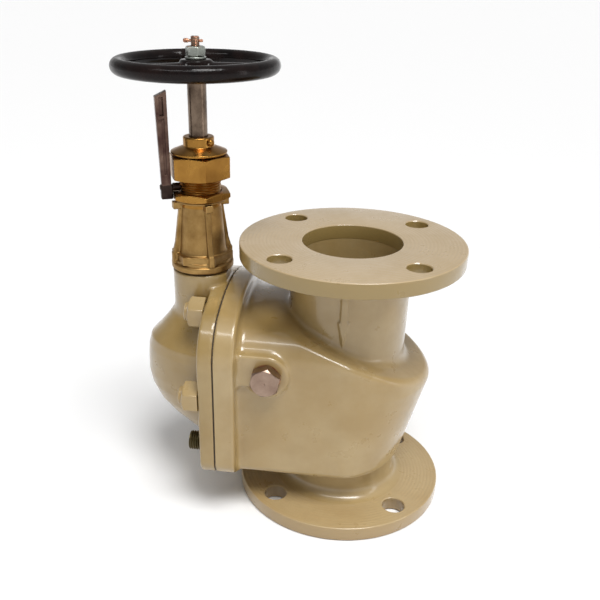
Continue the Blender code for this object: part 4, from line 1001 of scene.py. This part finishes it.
def make_lock():
    """The lock screw and its slotted lever, built beside the stem and turned into place."""
    low, high = box_mm("lock_lever")
    screw_z = middle_mm("lock_screw")[2]
    turn = Matrix.Translation((STEM_X * MM, 0.0, screw_z * MM)) @ Matrix.Rotation(LOCK_AZIMUTH, 4, "Z")
    root = STEM_R + 0.5
    profile = [(0.0, root), (3.0, root), (3.0, 21.9), (1.9, 21.9), (1.9, 31.8), (0.0, 31.8)]
    bar = revolve("lock_bar", rounded(profile, 0.4, 3), 48)
    bar.data.transform(turn @ Matrix.Rotation(pi / 2, 4, "Y"))
    dress(bar, "dark_steel", "lock_screw", body="lock")

    foot, top = low[2] - screw_z, high[2] - screw_z
    lean, slant, middle, steps = 1.2, 4.0, 26.6, 40
    share = np.linspace(0.0, 1.0, steps + 1)
    inner = np.linspace((middle - 3.6, foot + 0.4), (middle - 4.4 + lean, top), steps + 1)
    outer = np.linspace((middle + 3.6, foot + 0.4), (middle + 4.4 + lean, top - slant), steps + 1)
    half = 3.0 - 0.35 * np.sin(np.pi * np.minimum(1.0, share * 1.1))
    corners = ((inner, -half), (outer, -half), (outer, half), (inner, half))
    points = np.stack([np.stack([edge[:, 0], y, edge[:, 1]], 1) for edge, y in corners], 1).reshape(-1, 3)
    faces = [(i + k, i + (k + 1) % 4, i + 4 + (k + 1) % 4, i + 4 + k)
             for i in range(0, 4 * steps, 4) for k in range(4)]
    last = 4 * steps
    lever = mesh_object("lock_handle", points, faces + [(3, 2, 1, 0), (last, last + 1, last + 2, last + 3)])
    slot_x = middle + lean * 0.9
    subtract(lever, mesh_box("slot", (slot_x - 1.6, -0.4, top - 18.0), (slot_x + 1.6, 8.0, top - 4.5)))
    subtract(lever, mesh_box("groove", (slot_x - 1.9, 1.7, 10.0), (slot_x + 0.3, 8.0, top - 20.0)))
    shoe = mesh_box("lock_shoe", (middle - 4.55, -3.15, foot + 0.2), (middle + 4.55, 3.15, foot + 11.5))
    soften(lever, 0.45, 40.0, 3).data.transform(turn)
    soften(shoe, 0.9, 40.0, 3).data.transform(turn)
    dress(lever, "lever_steel", "lock_lever", body="lock")
    dress(shoe, "dark_steel", body="lock")


def make_wheel():
    """Handwheel with its washer, nut and split pin."""
    wheel = cast("wheel", wheel_field, *box_mm("handwheel"), WHEEL_STEP)
    dress(wheel, "black_enamel", "handwheel", body="spindle", smooth=60.0)
    low, high = box_mm("wheel_washer")
    bore, rim = TIP_R + 0.3, 7.8
    section = [(bore, low[2]), (rim, low[2]), (rim, high[2]), (bore, high[2])]
    washer = revolve_ring("wheel_ring", section, 0.35, 3, 80)
    dress(shift(washer, STEM_X), "zinc", "wheel_washer", body="spindle")
    low, high = box_mm("wheel_nut")
    hexed = nut("wheel_hex", 13.0, low[2], high[2], TIP_R + 0.15, -pi / 3, chamfer=1.2, edge=0.25)
    dress(shift(hexed, STEM_X), "zinc", "wheel_nut", body="spindle")
    profile = [(0.0, -5.8), (1.0, -5.8), (1.0, 4.8), (1.5, 5.6), (1.55, 8.0), (0.9, 8.9), (0.0, 8.9)]
    pin = revolve("pin_head", rounded(profile, 0.7, 4), 36)
    dress(along_x(pin, STEM_X, 0.0, middle_mm("split_pin")[2]), "copper", "split_pin", body="spindle")


def make_flap():
    """What shows through the bores: seat, facing, disc, and the arm under it."""
    tilt = Matrix.Rotation(SLOPE, 4, "Y") @ Matrix.Translation((SEAT_SHIFT * MM, 0.0, 0.0))
    seat = revolve_ring("seat", [(40.0, -14.3), (47.0, -14.3), (47.0, -8.3), (40.0, -8.3)], 0.5, 3, 144)
    section = [(36.0, -17.6), (43.5, -17.6), (43.5, -14.6), (36.0, -14.6)]
    facing = revolve_ring("facing", section, 0.6, 3, 144)
    profile = [(0.0, -45.9), (6.0, -45.9), (6.0, -26.9), (42.5, -26.9), (44.5, -24.9), (44.5, -17.9),
               (36.2, -17.9), (35.4, -17.2), (12.0, -17.2), (11.0, -18.0), (0.0, -18.0)]
    plate = revolve("flap_plate", rounded(profile, 0.5, 3), 144)
    for item in (seat, facing, plate):
        lay(item, tilt, VALVE_X, 0.0, SEAT_PLANE)
    dress(seat, "brass", "seat_ring", slot="bronze")
    dress(facing, "gasket", "flap_facing", body="flap")
    dress(plate, "cast_bronze", "flap_disc", body="flap")
    arm = cast("rocker", arm_field, *box_mm("flap_arm"), ARM_STEP)
    dress(arm, "cast_bronze", "flap_arm", body="flap", smooth=55.0)


KEPT = {
    "gasket": ("cover_gasket", "bonnet_gasket"),
    "packing": ("packing_ring_1", "packing_ring_2", "packing_ring_3"),
    "brass": ("gland_follower", "presser_foot", "flap_washer", "flap_nut"),
    "steel": ("hinge_pin",),
}


def dress_kept_nodes():
    """Small hidden CAD nodes keep their shape and get a finished material."""
    for look, nodes in KEPT.items():
        for node in nodes:
            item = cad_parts[node]
            item.data.materials.clear()
            item.data.materials.append(LOOKS[look][0])


# Studio
def area_light(name, place, size, power):
    """A soft box aimed at the middle of the valve."""
    lamp = bpy.data.lights.new(name, "AREA")
    lamp.shape = "RECTANGLE"
    lamp.size, lamp.size_y = size
    lamp.energy = power
    item = new_object(name, lamp)
    item.location = place
    item.rotation_euler = (Vector(AIM) - Vector(place)).to_track_quat("-Z", "Y").to_euler()


def make_floor():
    """A pale matt floor just below the valve."""
    work = bmesh.new()
    bmesh.ops.create_grid(work, x_segments=8, y_segments=8, size=FLOOR_HALF)
    mesh = bpy.data.meshes.new("floor")
    work.to_mesh(mesh)
    work.free()
    floor = new_object("floor", mesh)
    floor.location = (0.0, 0.0, -0.5 * MM)
    look = Look("floor_white", 0.0, 0.9)
    fill(look.shader, Base_Color=(0.86, 0.86, 0.86, 1.0), Specular_IOR_Level=0.1)
    look.bump((look.noise(300.0), 0.02, 0.2))
    floor.data.materials.append(look.material)


def make_studio():
    """Pale floor, white surroundings that dim upwards and leftwards, a sun and two soft boxes."""
    make_floor()
    world = bpy.data.worlds.new("studio")
    world.use_nodes = True
    graph = Graph(world.node_tree, "Generated")
    height = graph.span(graph.axis("Z"), 0.95, 0.42, 0.02, 0.30, smooth=True)
    side = graph.span(graph.axis("X"), 0.6, 1.0, -0.9, 0.1, smooth=True)
    level = graph.node("ShaderNodeMath")
    level.operation = "MULTIPLY"
    graph.link(height, level.inputs[0])
    graph.link(side, level.inputs[1])
    background = fill(world.node_tree.nodes["Background"], Color=(1.0, 1.0, 1.0, 1.0))
    graph.link(level.outputs["Value"], background.inputs["Strength"])
    SCENE.world = world
    sun = bpy.data.lights.new("key", "SUN")
    sun.energy = 2.6
    sun.angle = radians(26.0)
    new_object("key", sun).rotation_euler = Vector(SUN_DIRECTION).to_track_quat("-Z", "Y").to_euler()
    area_light("strip", (-0.20, -0.62, 1.15), (1.1, 0.10), 2.6)
    area_light("side", (1.1, -0.25, 0.5), (0.16, 0.9), 1.3)
    SCENE.view_settings.view_transform = "Standard"
    SCENE.view_settings.look = "None"


def make_camera():
    """The camera at the product picture's angle: a little right of the front and well above."""
    data = bpy.data.cameras.new("camera")
    data.lens = 43.98
    data.shift_x = 0.0487
    data.shift_y = 0.0932
    data.clip_end = 20.0
    azimuth, pitch, roll = radians(8.5), radians(28.06), radians(0.66)
    place = Matrix.Translation((0.0666, -0.5595, 0.4219))
    turn = Matrix.Rotation(azimuth, 4, "Z") @ Matrix.Rotation(pi / 2 - pitch, 4, "X")
    camera = new_object("camera", data)
    camera.matrix_world = place @ turn @ Matrix.Rotation(roll, 4, "Z")
    SCENE.camera = camera


make_camera()
make_castings()
make_cover_fasteners()
make_hinge_plugs()
make_bonnet()
make_gland()
make_stem()
make_lock()
make_wheel()
make_flap()
dress_kept_nodes()
make_studio()
